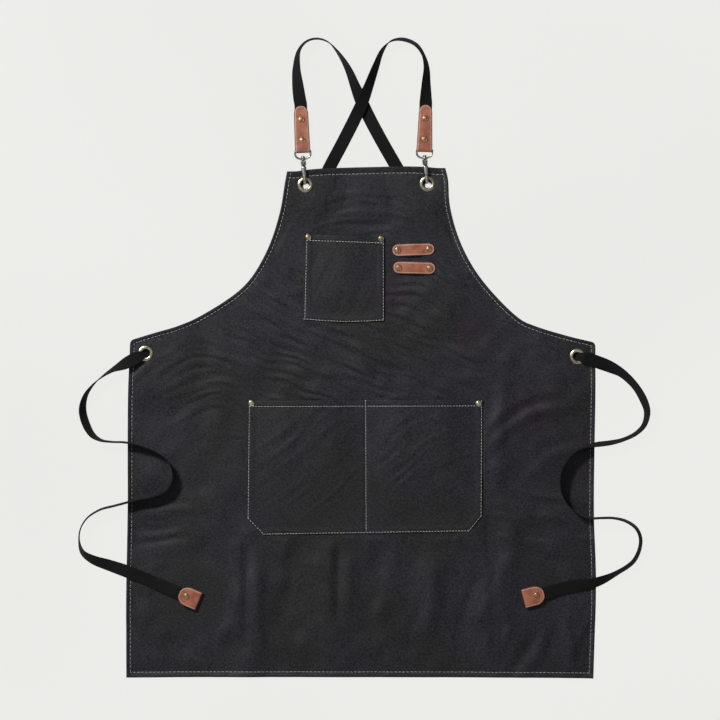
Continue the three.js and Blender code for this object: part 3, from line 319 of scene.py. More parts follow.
def edge_drop(away, roll):
    """Share by which a rounded edge drops, from 1 at the edge to 0 at the end of its roll."""
    return 1 - np.sqrt(1 - np.clip(1 - away / roll, 0, 1)**2)


def catmull_rom(points, steps):
    """Smooth centripetal curve through the points, with this many steps in each stretch."""
    p = np.asarray(points, float)
    p = np.vstack([2 * p[0] - p[1], p, 2 * p[-1] - p[-2]])
    t = np.linspace(0, 1, steps, endpoint=False)[:, None]
    stretches = []
    for a, b, c, d in zip(p, p[1:], p[2:], p[3:]):
        da, db, dc = (max(np.linalg.norm(v) ** 0.5, 1e-4) for v in (b - a, c - b, d - c))
        leave = ((b - a) / da - (c - a) / (da + db) + (c - b) / db) * db
        reach = ((c - b) / db - (d - b) / (db + dc) + (d - c) / dc) * db
        stretches.append((2 * t**3 - 3 * t**2 + 1) * b + (t**3 - 2 * t**2 + t) * leave
                         + (3 * t**2 - 2 * t**3) * c + (t**3 - t**2) * reach)
    stretches.append(p[-2:-1])
    return np.vstack(stretches)


def distances(path):
    return np.concatenate([[0.0], np.cumsum(np.linalg.norm(np.diff(path, axis=0), axis=1))])


def points_at(path, places):
    done = distances(path)
    return np.stack([np.interp(places, done, path[:, k]) for k in range(path.shape[1])], axis=-1)


def away_from(xy, path):
    """Distance of each point from a path in plan."""
    path = np.asarray(path, float)
    best = np.full(xy.shape[:-1], 1e9)
    for a, b in zip(path, path[1:]):
        run = b - a
        share = np.clip(((xy - a) @ run) / max(run @ run, 1e-9), 0, 1)
        best = np.minimum(best, np.linalg.norm(xy - a - share[..., None] * run, axis=-1))
    return best


def average(values, reach):
    """Running average along the first axis, with the ends held."""
    kernel = np.ones(2 * reach + 1) / (2 * reach + 1)
    padded = np.pad(values, ((reach, reach),) + ((0, 0),) * (values.ndim - 1), mode="edge")
    return np.apply_along_axis(lambda v: np.convolve(v, kernel, mode="valid"), 0, padded)


def placed(name, data):
    """Object with this data, at the origin of the scene."""
    made = bpy.data.objects.new(name, data)
    bpy.context.scene.collection.objects.link(made)
    return made


def make_piece(name, points, faces, material, attributes=(), uv=None):
    """Smooth mesh object at the origin, from points in millimetres."""
    mesh = bpy.data.meshes.new(name)
    mesh.from_pydata((np.asarray(points) * MM).tolist(), [], faces)
    for label, values in attributes:
        mesh.attributes.new(label, "FLOAT", "POINT").data.foreach_set("value", np.asarray(values, float))
    if uv is not None:
        corner = np.empty(len(mesh.loops), int)
        mesh.loops.foreach_get("vertex_index", corner)
        layer = mesh.uv_layers.new(name="along_across")
        layer.data.foreach_set("uv", np.asarray(uv, float)[corner].ravel())
    mesh.polygons.foreach_set("use_smooth", np.ones(len(mesh.polygons), bool))
    mesh.materials.append(material)
    mesh.update()
    return placed(name, mesh)


def applied(piece):
    """Turns the evaluated piece into a plain mesh and drops its modifiers."""
    depsgraph = bpy.context.evaluated_depsgraph_get()
    mesh = bpy.data.meshes.new_from_object(piece.evaluated_get(depsgraph))
    piece.modifiers.clear()
    piece.data = mesh
    mesh.name = piece.name
    return piece


def finish_piece(piece, body, slot, *nodes):
    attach(piece, body)
    if nodes:
        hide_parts(*nodes)
    return piece


def grid_faces(rows, columns, start=0, flip=False):
    faces = []
    for i in range(rows - 1):
        for j in range(columns - 1):
            a = start + i * columns + j
            quad = (a, a + columns, a + columns + 1, a + 1)
            faces.append(quad[::-1] if flip else quad)
    return faces


def closed_sheet(name, upper, lower, material):
    """Cloth with a fine upper face, and a lower face that has every second point."""
    rows, columns = upper.shape[:2]
    coarse = lower[::2, ::2]
    below_rows, below_columns = coarse.shape[:2]
    start = rows * columns
    faces = grid_faces(rows, columns) + grid_faces(below_rows, below_columns, start, flip=True)
    up = np.arange(start).reshape(rows, columns)
    low = start + np.arange(below_rows * below_columns).reshape(below_rows, below_columns)
    up_rim = [up[0, :], up[:, -1], up[-1, ::-1], up[::-1, 0]]
    low_rim = [low[0, :], low[:, -1], low[-1, ::-1], low[::-1, 0]]
    for fine, rough in zip(up_rim, low_rim):
        for k in range(len(rough) - 1):
            faces.append(tuple(int(v) for v in (*fine[2 * k:2 * k + 3], rough[k + 1], rough[k])))
    points = np.vstack([upper.reshape(-1, 3), coarse.reshape(-1, 3)])
    return make_piece(name, points, faces, material)


def ring_faces(count, around, is_loop=False, start=0):
    """Faces of a tube of rings, with end caps unless it meets itself."""
    faces = []
    for i in range(count if is_loop else count - 1):
        for k in range(around):
            a, b = start + i * around + k, start + i * around + (k + 1) % around
            c, d = (start + ((i + 1) % count) * around + j for j in ((k + 1) % around, k))
            faces.append((a, b, c, d))
    if not is_loop:
        faces.append(tuple(range(start + around - 1, start - 1, -1)))
        faces.append(tuple(range(start + (count - 1) * around, start + count * around)))
    return faces


def tube(path, radii, sides=18, is_loop=False, wide=None):
    """Wire along a path that stays in a plane through X or across Z: points and faces.

    It is round, or has the half widths given across that plane.
    """
    path = np.asarray(path, float)
    radii = np.broadcast_to(radii, len(path))
    wide = radii if wide is None else np.asarray(wide, float)
    if is_loop:
        run = np.roll(path, -1, axis=0) - np.roll(path, 1, axis=0)
    else:
        run = np.gradient(path, axis=0)
    run = run / np.linalg.norm(run, axis=1)[:, None]
    flat = np.array([0.0, 0.0, 1.0]) if np.ptp(path[:, 2]) < 1e-6 else np.array([1.0, 0.0, 0.0])
    other = np.cross(run, flat)
    turn = 2 * np.pi * np.arange(sides) / sides
    rings = (path[:, None] + (wide[:, None] * np.cos(turn))[..., None] * flat
             + (radii[:, None] * np.sin(turn))[..., None] * other[:, None])
    return rings.reshape(-1, 3), ring_faces(len(path), sides, is_loop)


def lathe(profile, sides, is_loop=False):
    """Body turned about Z from radius and height pairs that go up the outside: points and faces."""
    profile = np.asarray(profile, float)
    turn = 2 * np.pi * np.arange(sides) / sides
    rings = np.stack([profile[:, :1] * np.cos(turn), profile[:, :1] * np.sin(turn),
                      np.repeat(profile[:, 1:], sides, axis=1)], axis=-1)
    return rings.reshape(-1, 3), ring_faces(len(profile), sides, is_loop)


def round_off(corners, radius, steps=4):
    """Profile with its inner corners rounded."""
    corners = [np.asarray(c, float) for c in corners]
    out = [corners[0]]
    for before, here, after in zip(corners, corners[1:], corners[2:]):
        back, on = before - here, after - here
        reach = min(radius, 0.45 * np.linalg.norm(back), 0.45 * np.linalg.norm(on))
        first = here + back / np.linalg.norm(back) * reach
        last = here + on / np.linalg.norm(on) * reach
        for t in np.linspace(0, 1, steps + 1):
            out.append((1 - t)**2 * first + 2 * t * (1 - t) * here + t**2 * last)
    out.append(corners[-1])
    return np.array(out)


def moved(points, matrix):
    points = np.asarray(points, float)
    m = np.array(matrix)
    return points @ m[:3, :3].T + m[:3, 3]


def joined(*parts):
    """Several sets of points and faces as one."""
    points, faces, start = [], [], 0
    for part_points, part_faces in parts:
        points.append(np.asarray(part_points, float))
        faces += [tuple(start + v for v in face) for face in part_faces]
        start += len(part_points)
    return np.vstack(points), faces


# Materials

def linear(hex_colour):
    channels = [int(hex_colour[k:k + 2], 16) / 255 for k in (1, 3, 5)]
    return [c / 12.92 if c <= 0.04045 else ((c + 0.055) / 1.055)**2.4 for c in channels] + [1.0]


def noise_scale(size_mm):
    return 1 / (size_mm * MM)


def wave_scale(spacing_mm):
    """Scale of a wave texture, which has 20 radians to a unit."""
    return 2 * math.pi / 20 / (spacing_mm * MM)


def add(tree, kind, inputs=None, stops=(), **settings):
    """Adds a node. An input is given by name or place, as a value or as another node's output.

    Stops are the places and colours of a colour ramp.
    """
    node = tree.nodes.new(kind)
    for key, value in settings.items():
        setattr(node, key, value)
    for key, value in (inputs or {}).items():
        if isinstance(value, bpy.types.NodeSocket):
            tree.links.new(value, node.inputs[key])
        else:
            node.inputs[key].default_value = value
    for k, (place, colour) in enumerate(stops):
        node.color_ramp.elements[k].position = place
        node.color_ramp.elements[k].color = linear(colour)
    return node


def new_material(name):
    material = bpy.data.materials.new(name)
    material.use_nodes = True
    tree = material.node_tree
    tree.nodes.clear()
    shader = add(tree, "ShaderNodeBsdfPrincipled")
    add(tree, "ShaderNodeOutputMaterial", {"Surface": shader.outputs["BSDF"]})
    return material, tree, shader


def cotton_canvas():
    """Charcoal cotton duck, piece dyed and lightly waxed: a dull gleam, slubs in both directions and
    patches that lean to violet or to neutral. The threads are 0.6 mm apart, drawn 1.5 mm apart to show."""
    material, tree, shader = new_material("cotton_canvas")
    place = add(tree, "ShaderNodeTexCoord").outputs["Object"]
    patches = add(tree, "ShaderNodeTexNoise", {"Vector": place, "Scale": noise_scale(150), "Detail": 3.0})
    patch = patches.outputs["Fac"]
    dyed = add(tree, "ShaderNodeValToRGB", {"Fac": patch}, ((0.38, "#2A2A2A"), (0.62, "#2F2D37")))
    base = dyed.outputs["Color"]
    for x, y, radius in DYE_SPOTS:
        reach = radius * MM
        away = add(tree, "ShaderNodeVectorMath", {0: place, 1: (x * MM, y * MM, 0.0)}, operation="DISTANCE")
        ragged = add(tree, "ShaderNodeMath", {0: patch, 1: reach, 2: away.outputs["Value"]},
                     operation="MULTIPLY_ADD")
        stain = add(tree, "ShaderNodeMapRange", {"Value": ragged.outputs[0], 1: 0.55 * reach, 2: 1.5 * reach,
                                                 3: 0.8, 4: 0.0})
        base = add(tree, "ShaderNodeMix", {"Factor": stain.outputs[0], 6: base, 7: linear("#30222E")},
                   data_type="RGBA").outputs[2]
    threads = []
    for stretch in ((0.45, 1.0, 1.0), (1.0, 0.45, 1.0)):
        along = add(tree, "ShaderNodeMapping", {"Vector": place, "Scale": stretch})
        thread = add(tree, "ShaderNodeTexNoise", {"Vector": along.outputs[0], "Scale": noise_scale(1.5)})
        threads.append(thread.outputs["Fac"])
    weave = add(tree, "ShaderNodeMath", {0: threads[0], 1: threads[1]}, operation="MAXIMUM").outputs[0]
    slubs = add(tree, "ShaderNodeValToRGB", {"Fac": weave}, ((0.43, "#686868"), (0.67, "#FFFFFF")))
    colour = add(tree, "ShaderNodeMix", {"Factor": 1.0, 6: base, 7: slubs.outputs["Color"]}, data_type="RGBA",
                 blend_type="MULTIPLY")
    bump = add(tree, "ShaderNodeBump", {"Height": weave, "Strength": 0.24, "Distance": 0.3 * MM})
    tree.links.new(colour.outputs[2], shader.inputs["Base Color"])
    tree.links.new(bump.outputs["Normal"], shader.inputs["Normal"])
    shader.inputs["Roughness"].default_value = 0.56
    shader.inputs["Specular IOR Level"].default_value = 0.27
    return material


def cotton_webbing():
    """Black woven cotton tape: matt, with fine ribs across it and a firm selvedge. The ribs are
    1.2 mm apart, and are drawn 2.4 mm apart to show."""
    material, tree, shader = new_material("cotton_webbing")
    place = add(tree, "ShaderNodeUVMap", uv_map="along_across").outputs["UV"]
    ribs = add(tree, "ShaderNodeTexWave", {"Vector": place, "Scale": wave_scale(2.4), "Distortion": 0.6,
                                           "Detail": 1.0}, bands_direction="X")
    fuzz = add(tree, "ShaderNodeTexNoise", {"Vector": place, "Scale": noise_scale(1.6), "Detail": 2.0})
    fade = add(tree, "ShaderNodeTexNoise", {"Vector": place, "Scale": noise_scale(60), "Detail": 2.0})
    base = add(tree, "ShaderNodeValToRGB", {"Fac": fade.outputs["Fac"]}, ((0.3, "#171718"), (0.7, "#1F1F20")))
    weave = add(tree, "ShaderNodeMath", {0: ribs.outputs["Fac"], 1: fuzz.outputs["Fac"]},
                operation="MULTIPLY").outputs[0]
    shade = add(tree, "ShaderNodeValToRGB", {"Fac": weave}, ((0.05, "#A8A8A8"), (0.6, "#FFFFFF")))
    colour = add(tree, "ShaderNodeMix", {"Factor": 1.0, 6: base.outputs["Color"], 7: shade.outputs["Color"]},
                 data_type="RGBA", blend_type="MULTIPLY")
    bump = add(tree, "ShaderNodeBump", {"Height": weave, "Strength": 0.5, "Distance": 0.35 * MM})
    tree.links.new(colour.outputs[2], shader.inputs["Base Color"])
    tree.links.new(bump.outputs["Normal"], shader.inputs["Normal"])
    shader.inputs["Roughness"].default_value = 0.9
    shader.inputs["Specular IOR Level"].default_value = 0.15
    shader.inputs["Sheen Weight"].default_value = 0.03
    return material


def tan_leather():
    """Vegetable-tanned leather, dyed tan and rolled smooth: a soft gloss, a fine pebble, darker pull-up
    patches, a dark cut edge that is widened with painted shade at the rim, and a pale creased line inside it.
    The pores are 0.4 mm, drawn at 1.4 mm."""
    material, tree, shader = new_material("tan_leather")
    place = add(tree, "ShaderNodeTexCoord").outputs["Object"]
    cloud = add(tree, "ShaderNodeTexNoise", {"Vector": place, "Scale": noise_scale(14), "Detail": 5.0})
    pores = add(tree, "ShaderNodeTexNoise", {"Vector": place, "Scale": noise_scale(1.4), "Detail": 3.0})
    pore = pores.outputs["Fac"]
    dyed = add(tree, "ShaderNodeValToRGB", {"Fac": cloud.outputs["Fac"]},
               ((0.34, "#854736"), (0.66, "#AA684A")))
    colour = dyed.outputs["Color"]
    rim = add(tree, "ShaderNodeAttribute", attribute_name="rim").outputs["Fac"]
    # Pale line, and dark cut edge widened with painted shade: distances from the edge where they start to
    # fade and end, share and colour
    for near, far, share, tint in ((1.8, 3.0, 0.7, "#D3A792"), (0.9, 1.8, 0.92, "#4A281E")):
        line = add(tree, "ShaderNodeMapRange", {"Value": rim, 1: near, 2: far, 3: share, 4: 0.0})
        colour = add(tree, "ShaderNodeMix", {"Factor": line.outputs[0], 6: colour, 7: linear(tint)},
                     data_type="RGBA").outputs[2]
    rough = add(tree, "ShaderNodeMapRange", {"Value": pore, 1: 0.3, 2: 0.7, 3: 0.48, 4: 0.66})
    bump = add(tree, "ShaderNodeBump", {"Height": pore, "Strength": 0.25, "Distance": 0.2 * MM})
    tree.links.new(colour, shader.inputs["Base Color"])
    tree.links.new(rough.outputs[0], shader.inputs["Roughness"])
    tree.links.new(bump.outputs["Normal"], shader.inputs["Normal"])
    return material


def sewing_thread():
    """Off-white cotton-wrapped thread, twisted: matt, a little soiled in places."""
    material, tree, shader = new_material("sewing_thread")
    place = add(tree, "ShaderNodeTexCoord").outputs["Object"]
    soil = add(tree, "ShaderNodeTexNoise", {"Vector": place, "Scale": noise_scale(30), "Detail": 3.0})
    worn = add(tree, "ShaderNodeValToRGB", {"Fac": soil.outputs["Fac"]}, ((0.3, "#B0ADA6"), (0.7, "#D8D5CE")))
    tree.links.new(worn.outputs["Color"], shader.inputs["Base Color"])
    shader.inputs["Roughness"].default_value = 0.8
    return material


def plated_metal(name, dark, light, roughness):
    """Plated zinc casting or pressed brass: metal, polished high and dulled in the hollows."""
    material, tree, shader = new_material(name)
    place = add(tree, "ShaderNodeTexCoord").outputs["Object"]
    tarnish = add(tree, "ShaderNodeTexNoise", {"Vector": place, "Scale": noise_scale(5), "Detail": 4.0})
    scuffs = add(tree, "ShaderNodeTexNoise", {"Vector": place, "Scale": noise_scale(0.9), "Detail": 2.0})
    plating = add(tree, "ShaderNodeValToRGB", {"Fac": tarnish.outputs["Fac"]}, ((0.3, dark), (0.7, light)))
    rough = add(tree, "ShaderNodeMapRange", {"Value": scuffs.outputs["Fac"], 1: 0.3, 2: 0.7,
                                             3: roughness - 0.08, 4: roughness + 0.1})
    tree.links.new(plating.outputs["Color"], shader.inputs["Base Color"])
    tree.links.new(rough.outputs[0], shader.inputs["Roughness"])
    shader.inputs["Metallic"].default_value = 1.0
    return material


def studio_floor():
    """Pale matt backdrop, evenly lit from all round by its own glow. Shade is painted on it: the glow is
    taken away under the eyelets, where the cloth would shade it, and painted light is added back at the spots
    that the key light would reach through the bib's open eyelets."""
    material, tree, shader = new_material("studio_floor")
    place = add(tree, "ShaderNodeTexCoord").outputs["Object"]
    cloud = add(tree, "ShaderNodeTexNoise", {"Vector": place, "Scale": noise_scale(700), "Detail": 1.0})
    pale = add(tree, "ShaderNodeValToRGB", {"Fac": cloud.outputs["Fac"]},
               ((0.3, "#EBEBE8"), (0.7, "#EFEFEC")))
    glow, radius = FLOOR["glow"], PAINTED_LIGHT_SPOT["radius"]
    # Painted shade under every eyelet and painted light under the bib's eyelets, as rounds on the floor:
    # middle, inner and outer radius, value inside and outside, and how it is taken in
    painted_rounds = [(x, y, *FLOOR["painted_shade"], 0.0, 1.0, "MULTIPLY") for x, y in EYELETS.values()]
    painted_rounds += [(x + PAINTED_LIGHT_SPOT["x"], y + PAINTED_LIGHT_SPOT["y"], radius, 1.5 * radius, glow, 0.0, "ADD")
               for name, (x, y) in EYELETS.items() if name.startswith("bib")]
    for x, y, inner, outer, inside, outside, taken in painted_rounds:
        away = add(tree, "ShaderNodeVectorMath", {0: place, 1: (x * MM, y * MM, 0.0)}, operation="DISTANCE")
        lit = add(tree, "ShaderNodeMapRange", {"Value": away.outputs["Value"], 1: inner * MM, 2: outer * MM,
                                               3: inside, 4: outside})
        glow = add(tree, "ShaderNodeMath", {0: glow, 1: lit.outputs[0]}, operation=taken).outputs[0]
    tree.links.new(pale.outputs["Color"], shader.inputs["Emission Color"])
    tree.links.new(glow, shader.inputs["Emission Strength"])
    shader.inputs["Base Color"].default_value = linear("#202020")
    shader.inputs["Roughness"].default_value = 1.0
    shader.inputs["Specular IOR Level"].default_value = 0.0
    return material


CLOTH = cotton_canvas()
TAPE = cotton_webbing()
HIDE = tan_leather()
THREAD = sewing_thread()
BRASS = plated_metal("antique_brass", "#84674A", "#C8A67E", 0.36)
GILT = plated_metal("light_brass", "#A2977C", "#E2D9C2", 0.28)
AGED = plated_metal("aged_brass", "#71674A", "#B4A985", 0.36)
NICKEL = plated_metal("dark_nickel", "#85827A", "#D0CCC0", 0.3)


# Panel

WAVES = np.random.default_rng(SEED).uniform(0, 1, (14, 3))
WAVE_SEED = SEED + 40
POCKET_SEED = SEED + 42


def undulation(xy, shortest, longest, height):
    """Sum of seeded waves with lengths between the two."""
    total = np.zeros(xy.shape[:-1])
    for turn, phase, size in WAVES:
        length = shortest + (longest - shortest) * size
        heading = np.array([math.cos(math.pi * turn), math.sin(math.pi * turn)])
        total += np.sin(2 * math.pi * ((xy @ heading) / length + phase))
    return height * total / math.sqrt(len(WAVES))


def noise(place, seed):
    """Smooth seeded noise between -1 and 1, with features about a unit across."""
    cells = 48
    grid = np.random.default_rng(seed).uniform(-1, 1, (cells, cells))
    corner = np.floor(place).astype(int)
    across, up = np.moveaxis(smooth(place - corner), -1, 0)
    i, j = np.moveaxis(corner % cells, -1, 0)
    right, above = (i + 1) % cells, (j + 1) % cells
    return ((grid[i, j] * (1 - across) + grid[right, j] * across) * (1 - up)
            + (grid[i, above] * (1 - across) + grid[right, above] * across) * up)


def ripple_relief(xy, patches):
    """Crumples in patches, drawn out along the slope of each patch."""
    total = np.zeros(xy.shape[:-1])
    stray = undulation(xy, *CRUMPLE_LINES["stray"])
    for seed, (middle, half, slope, bend, spacing, height) in enumerate(patches, SEED):
        off = xy - np.array(middle, float)
        reach = np.hypot(off[..., 0] / half[0], off[..., 1] / half[1])
        turn = math.radians(slope)
        run = off[..., 0] * math.cos(turn) + off[..., 1] * math.sin(turn)
        across = off[..., 1] * math.cos(turn) - off[..., 0] * math.sin(turn) + stray
        if bend:
            across = across + run**2 / (2 * bend)
        long, wide = CRUMPLE_LINES["long"] * spacing, CRUMPLE_LINES["wide"] * spacing
        lines = noise(np.stack([run / long, across / wide], axis=-1), seed)
        total += height * lines * smooth(CRUMPLE_LINES["rim"] - reach)
    return total


def crease_relief(xy):
    total = np.zeros(xy.shape[:-1])
    for path, half, height in CREASES:
        path = np.asarray(path, float)
        away = away_from(xy, path)
        ends = np.minimum(np.linalg.norm(xy - path[0], axis=-1), np.linalg.norm(xy - path[-1], axis=-1))
        share = CREASE_END["share"] + (1 - CREASE_END["share"]) * smooth(ends / CREASE_END["run"])
        total += height * np.exp(-(away / half)**2) * share
    return total


def fold_relief(xy):
    x, y = xy[..., 0], xy[..., 1]
    height = np.zeros(x.shape)
    for ridge, top, bottom, half, rise in FOLDS:
        across = smooth(1 - np.abs(x - ridge) / half)
        run = smooth((top - y) / FOLD_RUNOUT) * smooth((y - bottom) / FOLD_RUNOUT)
        height = np.maximum(height, rise * across * run)
    return height


def lift(xy):
    """How far hooks and straps hold the cloth up."""
    height = STRAP_LIFT * smooth((xy[..., 1] - BIB_START["lift"]) / BIB_START["run"])
    for name, place in EYELETS.items():
        reach = BIB_LIFT if name.startswith("bib") else WAIST_LIFT
        away = np.linalg.norm(xy - np.array(place, float), axis=-1)
        share = smooth((reach["reach"] - away) / (reach["reach"] - reach["flat"]))
        height = np.maximum(height, EYELET_LIFT * share)
    return height


def edge_paths(side):
    return {part: catmull_rom(rows, 40) for part, rows in EDGES[side].items()}


def row_stations(path):
    """Points of one edge at each row, and the smoothed normals that point into the cloth."""
    arm, flank = path["armhole"], path["side"]
    arm_length, flank_length = distances(arm)[-1], distances(flank)[-1]
    band = np.array(BAND)
    arm_places = np.concatenate([band, np.linspace(band[-1], arm_length, PANEL_ROWS["armhole"] + 1)[1:-1]])
    flank_places = np.concatenate([np.linspace(0, flank_length - band[-1], PANEL_ROWS["side"])[:-1],
                                   flank_length - band[::-1]])
    stations = np.vstack([points_at(arm, arm_places), points_at(flank, flank_places)])
    waist = len(arm_places)
    near_waist = np.abs(np.arange(len(stations)) - waist)[:, None] < 6
    stations = np.where(near_waist, average(stations, 2), stations)
    run = average(np.gradient(stations, axis=0), 9)
    run /= np.linalg.norm(run, axis=1)[:, None]
    normals = np.stack([-run[:, 1], run[:, 0]], axis=1)
    level = smooth(1 - distances(stations) / TOP_LEVEL)[:, None]
    normals = normals * (1 - level) + np.array([1.0, 0.0]) * level
    normals /= np.linalg.norm(normals, axis=1)[:, None]
    shares = np.concatenate([arm_places / arm_length, 1 + flank_places / flank_length])
    return stations, normals, shares


def panel_plan():
    """Points of the panel in plan, row by row from the bib's top to the skirt's foot."""
    left, left_normals, shares = row_stations(edge_paths("left"))
    right, right_normals, _ = row_stations(edge_paths("right"))
    above = np.minimum(shares, 1)**ROW_BOW["above"]
    below = np.clip(2 - shares, 0, 1)**ROW_BOW["below"]
    bow = np.where(shares <= 1, ROW_BOW["top"] + (ROW_BOW["waist"] - ROW_BOW["top"]) * above,
                   ROW_BOW["bottom"] + (ROW_BOW["waist"] - ROW_BOW["bottom"]) * below)
    band = np.array(BAND)[None, :, None]
    left_band = left[:, None] + left_normals[:, None] * band
    right_band = right[:, None] - right_normals[:, None] * band
    u = np.linspace(0, 1, PANEL_COLUMNS + 1)[1:-1]
    middle = left_band[:, -1:] * (1 - u)[None, :, None] + right_band[:, -1:] * u[None, :, None]
    middle[..., 1] -= bow[:, None] * (1 - np.abs(2 * u - 1)**ROW_BOW["across"])[None]
    return np.concatenate([left_band, middle, right_band[:, ::-1]], axis=1)


PLAN = panel_plan()
OUTLINE = {
    "top": [PLAN[0, ::6]],
    "armhole": [edge_paths(side)["armhole"][::5] for side in EDGES],
    "side": [edge_paths(side)["side"][::8] for side in EDGES],
    "bottom": [PLAN[-1, ::6]],
}


def hem_distances(xy):
    """Distance of each point from each kind of edge."""
    return {part: np.min([away_from(xy, path) for path in paths], axis=0) for part, paths in OUTLINE.items()}


def hem_relief(xy, hems):
    """Rolled edge, padded hem and the groove of its seam, with small puckers."""
    edge = np.min(list(hems.values()), axis=0)
    pad = np.zeros(edge.shape)
    groove = np.zeros(edge.shape)
    for part, away in hems.items():
        inset = SEAM[part]
        pad = np.maximum(pad, HEM["pad"] * smooth((inset - away) / HEM["pad_run"] + 0.5))
        groove = np.maximum(groove, HEM["groove"] * np.exp(-((away - inset) / HEM["groove_half"])**2))
    rolled = -HEM["roll"] * edge_drop(edge, HEM["roll"])
    curl = HEM["curl"] * smooth(1 - edge / HEM["curl_run"])
    puckers = np.exp(-(edge / HEM["pucker_run"])**2) * undulation(xy, *HEM["pucker"])
    return rolled + pad + curl - groove + puckers


def panel_height(xy, hems):
    """Height of the panel's upper face."""
    still = np.ones(xy.shape[:-1])
    for x, y, radius in STILL:
        still *= smooth((np.linalg.norm(xy - np.array([x, y], float), axis=-1) - radius) / STILL_FADE)
    beside = pocket_distance(xy)
    soft = CRUMPLES["height"] * ripple_relief(xy, RIPPLES)
    for seed, (size, height) in enumerate(SOFT_WAVES, WAVE_SEED):
        soft = soft + height * noise(xy / size, seed)
    soft = np.minimum(soft, CRUMPLES["beside"] + CRUMPLES["more"] * smooth(beside / CRUMPLES["reach"]))
    bib = smooth((xy[..., 1] - BIB_START["calm"]) / BIB_START["run"])
    relief = (soft * (1 - CRUMPLES["bib_loss"] * bib) + crease_relief(xy)) * still
    relief = np.maximum(relief, LOWEST["cloth"] + (LOWEST["strap"] - LOWEST["cloth"]) * over_strap(xy))
    height = np.maximum(lift(xy), fold_relief(xy)) + relief
    height = np.minimum(height, SEATED["rise"] + SEATED["slope"] * beside)
    return CANVAS_TOP + height + hem_relief(xy, hems)


def over_strap(xy):
    """1 above a strap that runs behind the panel, 0 well away from it."""
    runs = [[(x, y) for x, y, rise, roll, _ in rows
             if rise <= BEHIND["rise"] and y < BEHIND["top_y"] and abs(roll) == 180]
            for rows in ROUTES.values()]
    away = np.min([away_from(xy, run) for run in runs], axis=0)
    return smooth((BEHIND["reach"] - away) / BEHIND["fade"])


def pocket_distance(xy):
    """Distance of each point from the nearest box round a pocket or the tool loops."""
    best = np.full(xy.shape[:-1], 1e9)
    for low, high in COVERED:
        past = np.maximum(np.maximum(np.array(low) - xy, xy - np.array(high)), 0)
        best = np.minimum(best, np.linalg.norm(past, axis=-1))
    return best


def canvas_panel():
    hems = hem_distances(PLAN)
    top = panel_height(PLAN, hems)
    in_hem = np.zeros(top.shape)
    for part, away in hems.items():
        in_hem = np.maximum(in_hem, smooth((SEAM[part] + HEM["lap"] - away) / HEM["lap"]))
    folded = np.where(hems["top"] < SEAM["top"] + 2, HEM_THICK["top"], HEM_THICK["rest"])
    thick = CANVAS + (folded - CANVAS) * in_hem
    edge = np.min(list(hems.values()), axis=0)
    tuck = np.where(edge < HEM["roll"], HEM["tuck"] * (1 - edge / HEM["roll"]), 0)
    low = np.maximum(top - thick + tuck, CLEAR_OF_FLOOR)
    upper = np.concatenate([PLAN, top[..., None]], axis=-1)
    lower = np.concatenate([PLAN, low[..., None]], axis=-1)
    panel = closed_sheet("canvas_panel", upper, lower, CLOTH)
    drill = make_piece("eyelet_drills", *joined(*[eyelet_post(x, y) for x, y in EYELETS.values()]), CLOTH)
    cut = panel.modifiers.new("eyelet_holes", "BOOLEAN")
    cut.operation = "DIFFERENCE"
    cut.solver = "EXACT"
    cut.object = drill
    applied(panel)
    bpy.data.objects.remove(drill)
    return panel


def eyelet_post(x, y):
    """Post through the cloth, as wide as an eyelet's hole."""
    points, faces = lathe([(EYELET_HOLE, -5), (EYELET_HOLE, 25)], 40)
    return points + np.array([x, y, 0.0]), faces


# Patch pockets

def pocket_outline(pocket):
    """Sewn edge from the mouth's left end, round the foot, to the mouth's right end."""
    rows = pocket["rows"]
    left = [(row[0], row[1]) for row in rows if row is not rows[1]]
    right = [(row[2], row[3]) for row in rows if row is not rows[1]]
    u = np.linspace(0, 1, 15)[1:-1, None]
    foot = (1 - u) * np.array(left[-1]) + u * np.array(right[-1])
    foot[:, 1] -= pocket["sag"] * np.sin(math.pi * u[:, 0])
    return np.vstack([left, foot, right[::-1]])


def pocket_middles(pocket):
    """Seam lines down the pocket between its bays."""
    ends = np.array([pocket["rows"][0], pocket["rows"][-1]], float)
    shares = [bay / pocket["bays"] for bay in range(1, pocket["bays"])]
    return [(1 - u) * ends[:, :2] + u * ends[:, 2:] for u in shares]


def pocket_height(pocket, xy):
    """Height of a pocket's upper face."""
    form = POCKET_RELIEF
    mouth, _, turn, _ = np.array(pocket["rows"], float)
    u = np.clip((xy[..., 0] - turn[0]) / (turn[2] - turn[0]), 0, 1)
    mouth_y = mouth[1] + (mouth[3] - mouth[1]) * u
    turn_y = turn[1] + (turn[3] - turn[1]) * u
    from_mouth = mouth_y - xy[..., 1]
    depth = np.clip(from_mouth / (mouth_y - turn_y), 0, 1)
    sewn = away_from(xy, pocket_outline(pocket))
    seams = [away_from(xy, line) for line in pocket_middles(pocket)]
    openness = smooth((sewn - form["stand_from"]) / form["stand_run"])
    for away in seams:
        openness = openness * smooth((away - form["middle_from"]) / form["stand_run"])
    stand = pocket["bulge"] * openness * (1 - depth**form["sink"])
    relief = -form["edge"] * edge_drop(np.minimum(sewn, np.maximum(from_mouth, 0)), form["roll"])
    relief += form["fold"] * smooth((POCKET_SEAM["fold"] - sewn) / form["fold_run"] + 0.5)
    relief += form["hem"] * smooth((POCKET_SEAM["hem"] - from_mouth) / form["hem_run"] + 0.5)
    relief -= form["groove"] * np.exp(-((sewn - POCKET_SEAM["edge"]) / form["edge_half"])**2)
    relief -= form["groove"] * np.exp(-((from_mouth - POCKET_SEAM["hem"]) / form["hem_half"])**2)
    for away in seams:
        relief -= form["middle"] * np.exp(-(away / POCKET_SEAM["middle"])**2)
    size, height = form["wave"]
    soft = form["crumple"] * ripple_relief(xy, POCKET_RIPPLES) + height * noise(xy / size, POCKET_SEED)
    calm = smooth((sewn - form["calm_from"]) / form["calm_run"])
    return POCKET_BASE + stand + relief + np.maximum(soft, form["lowest"]) * calm


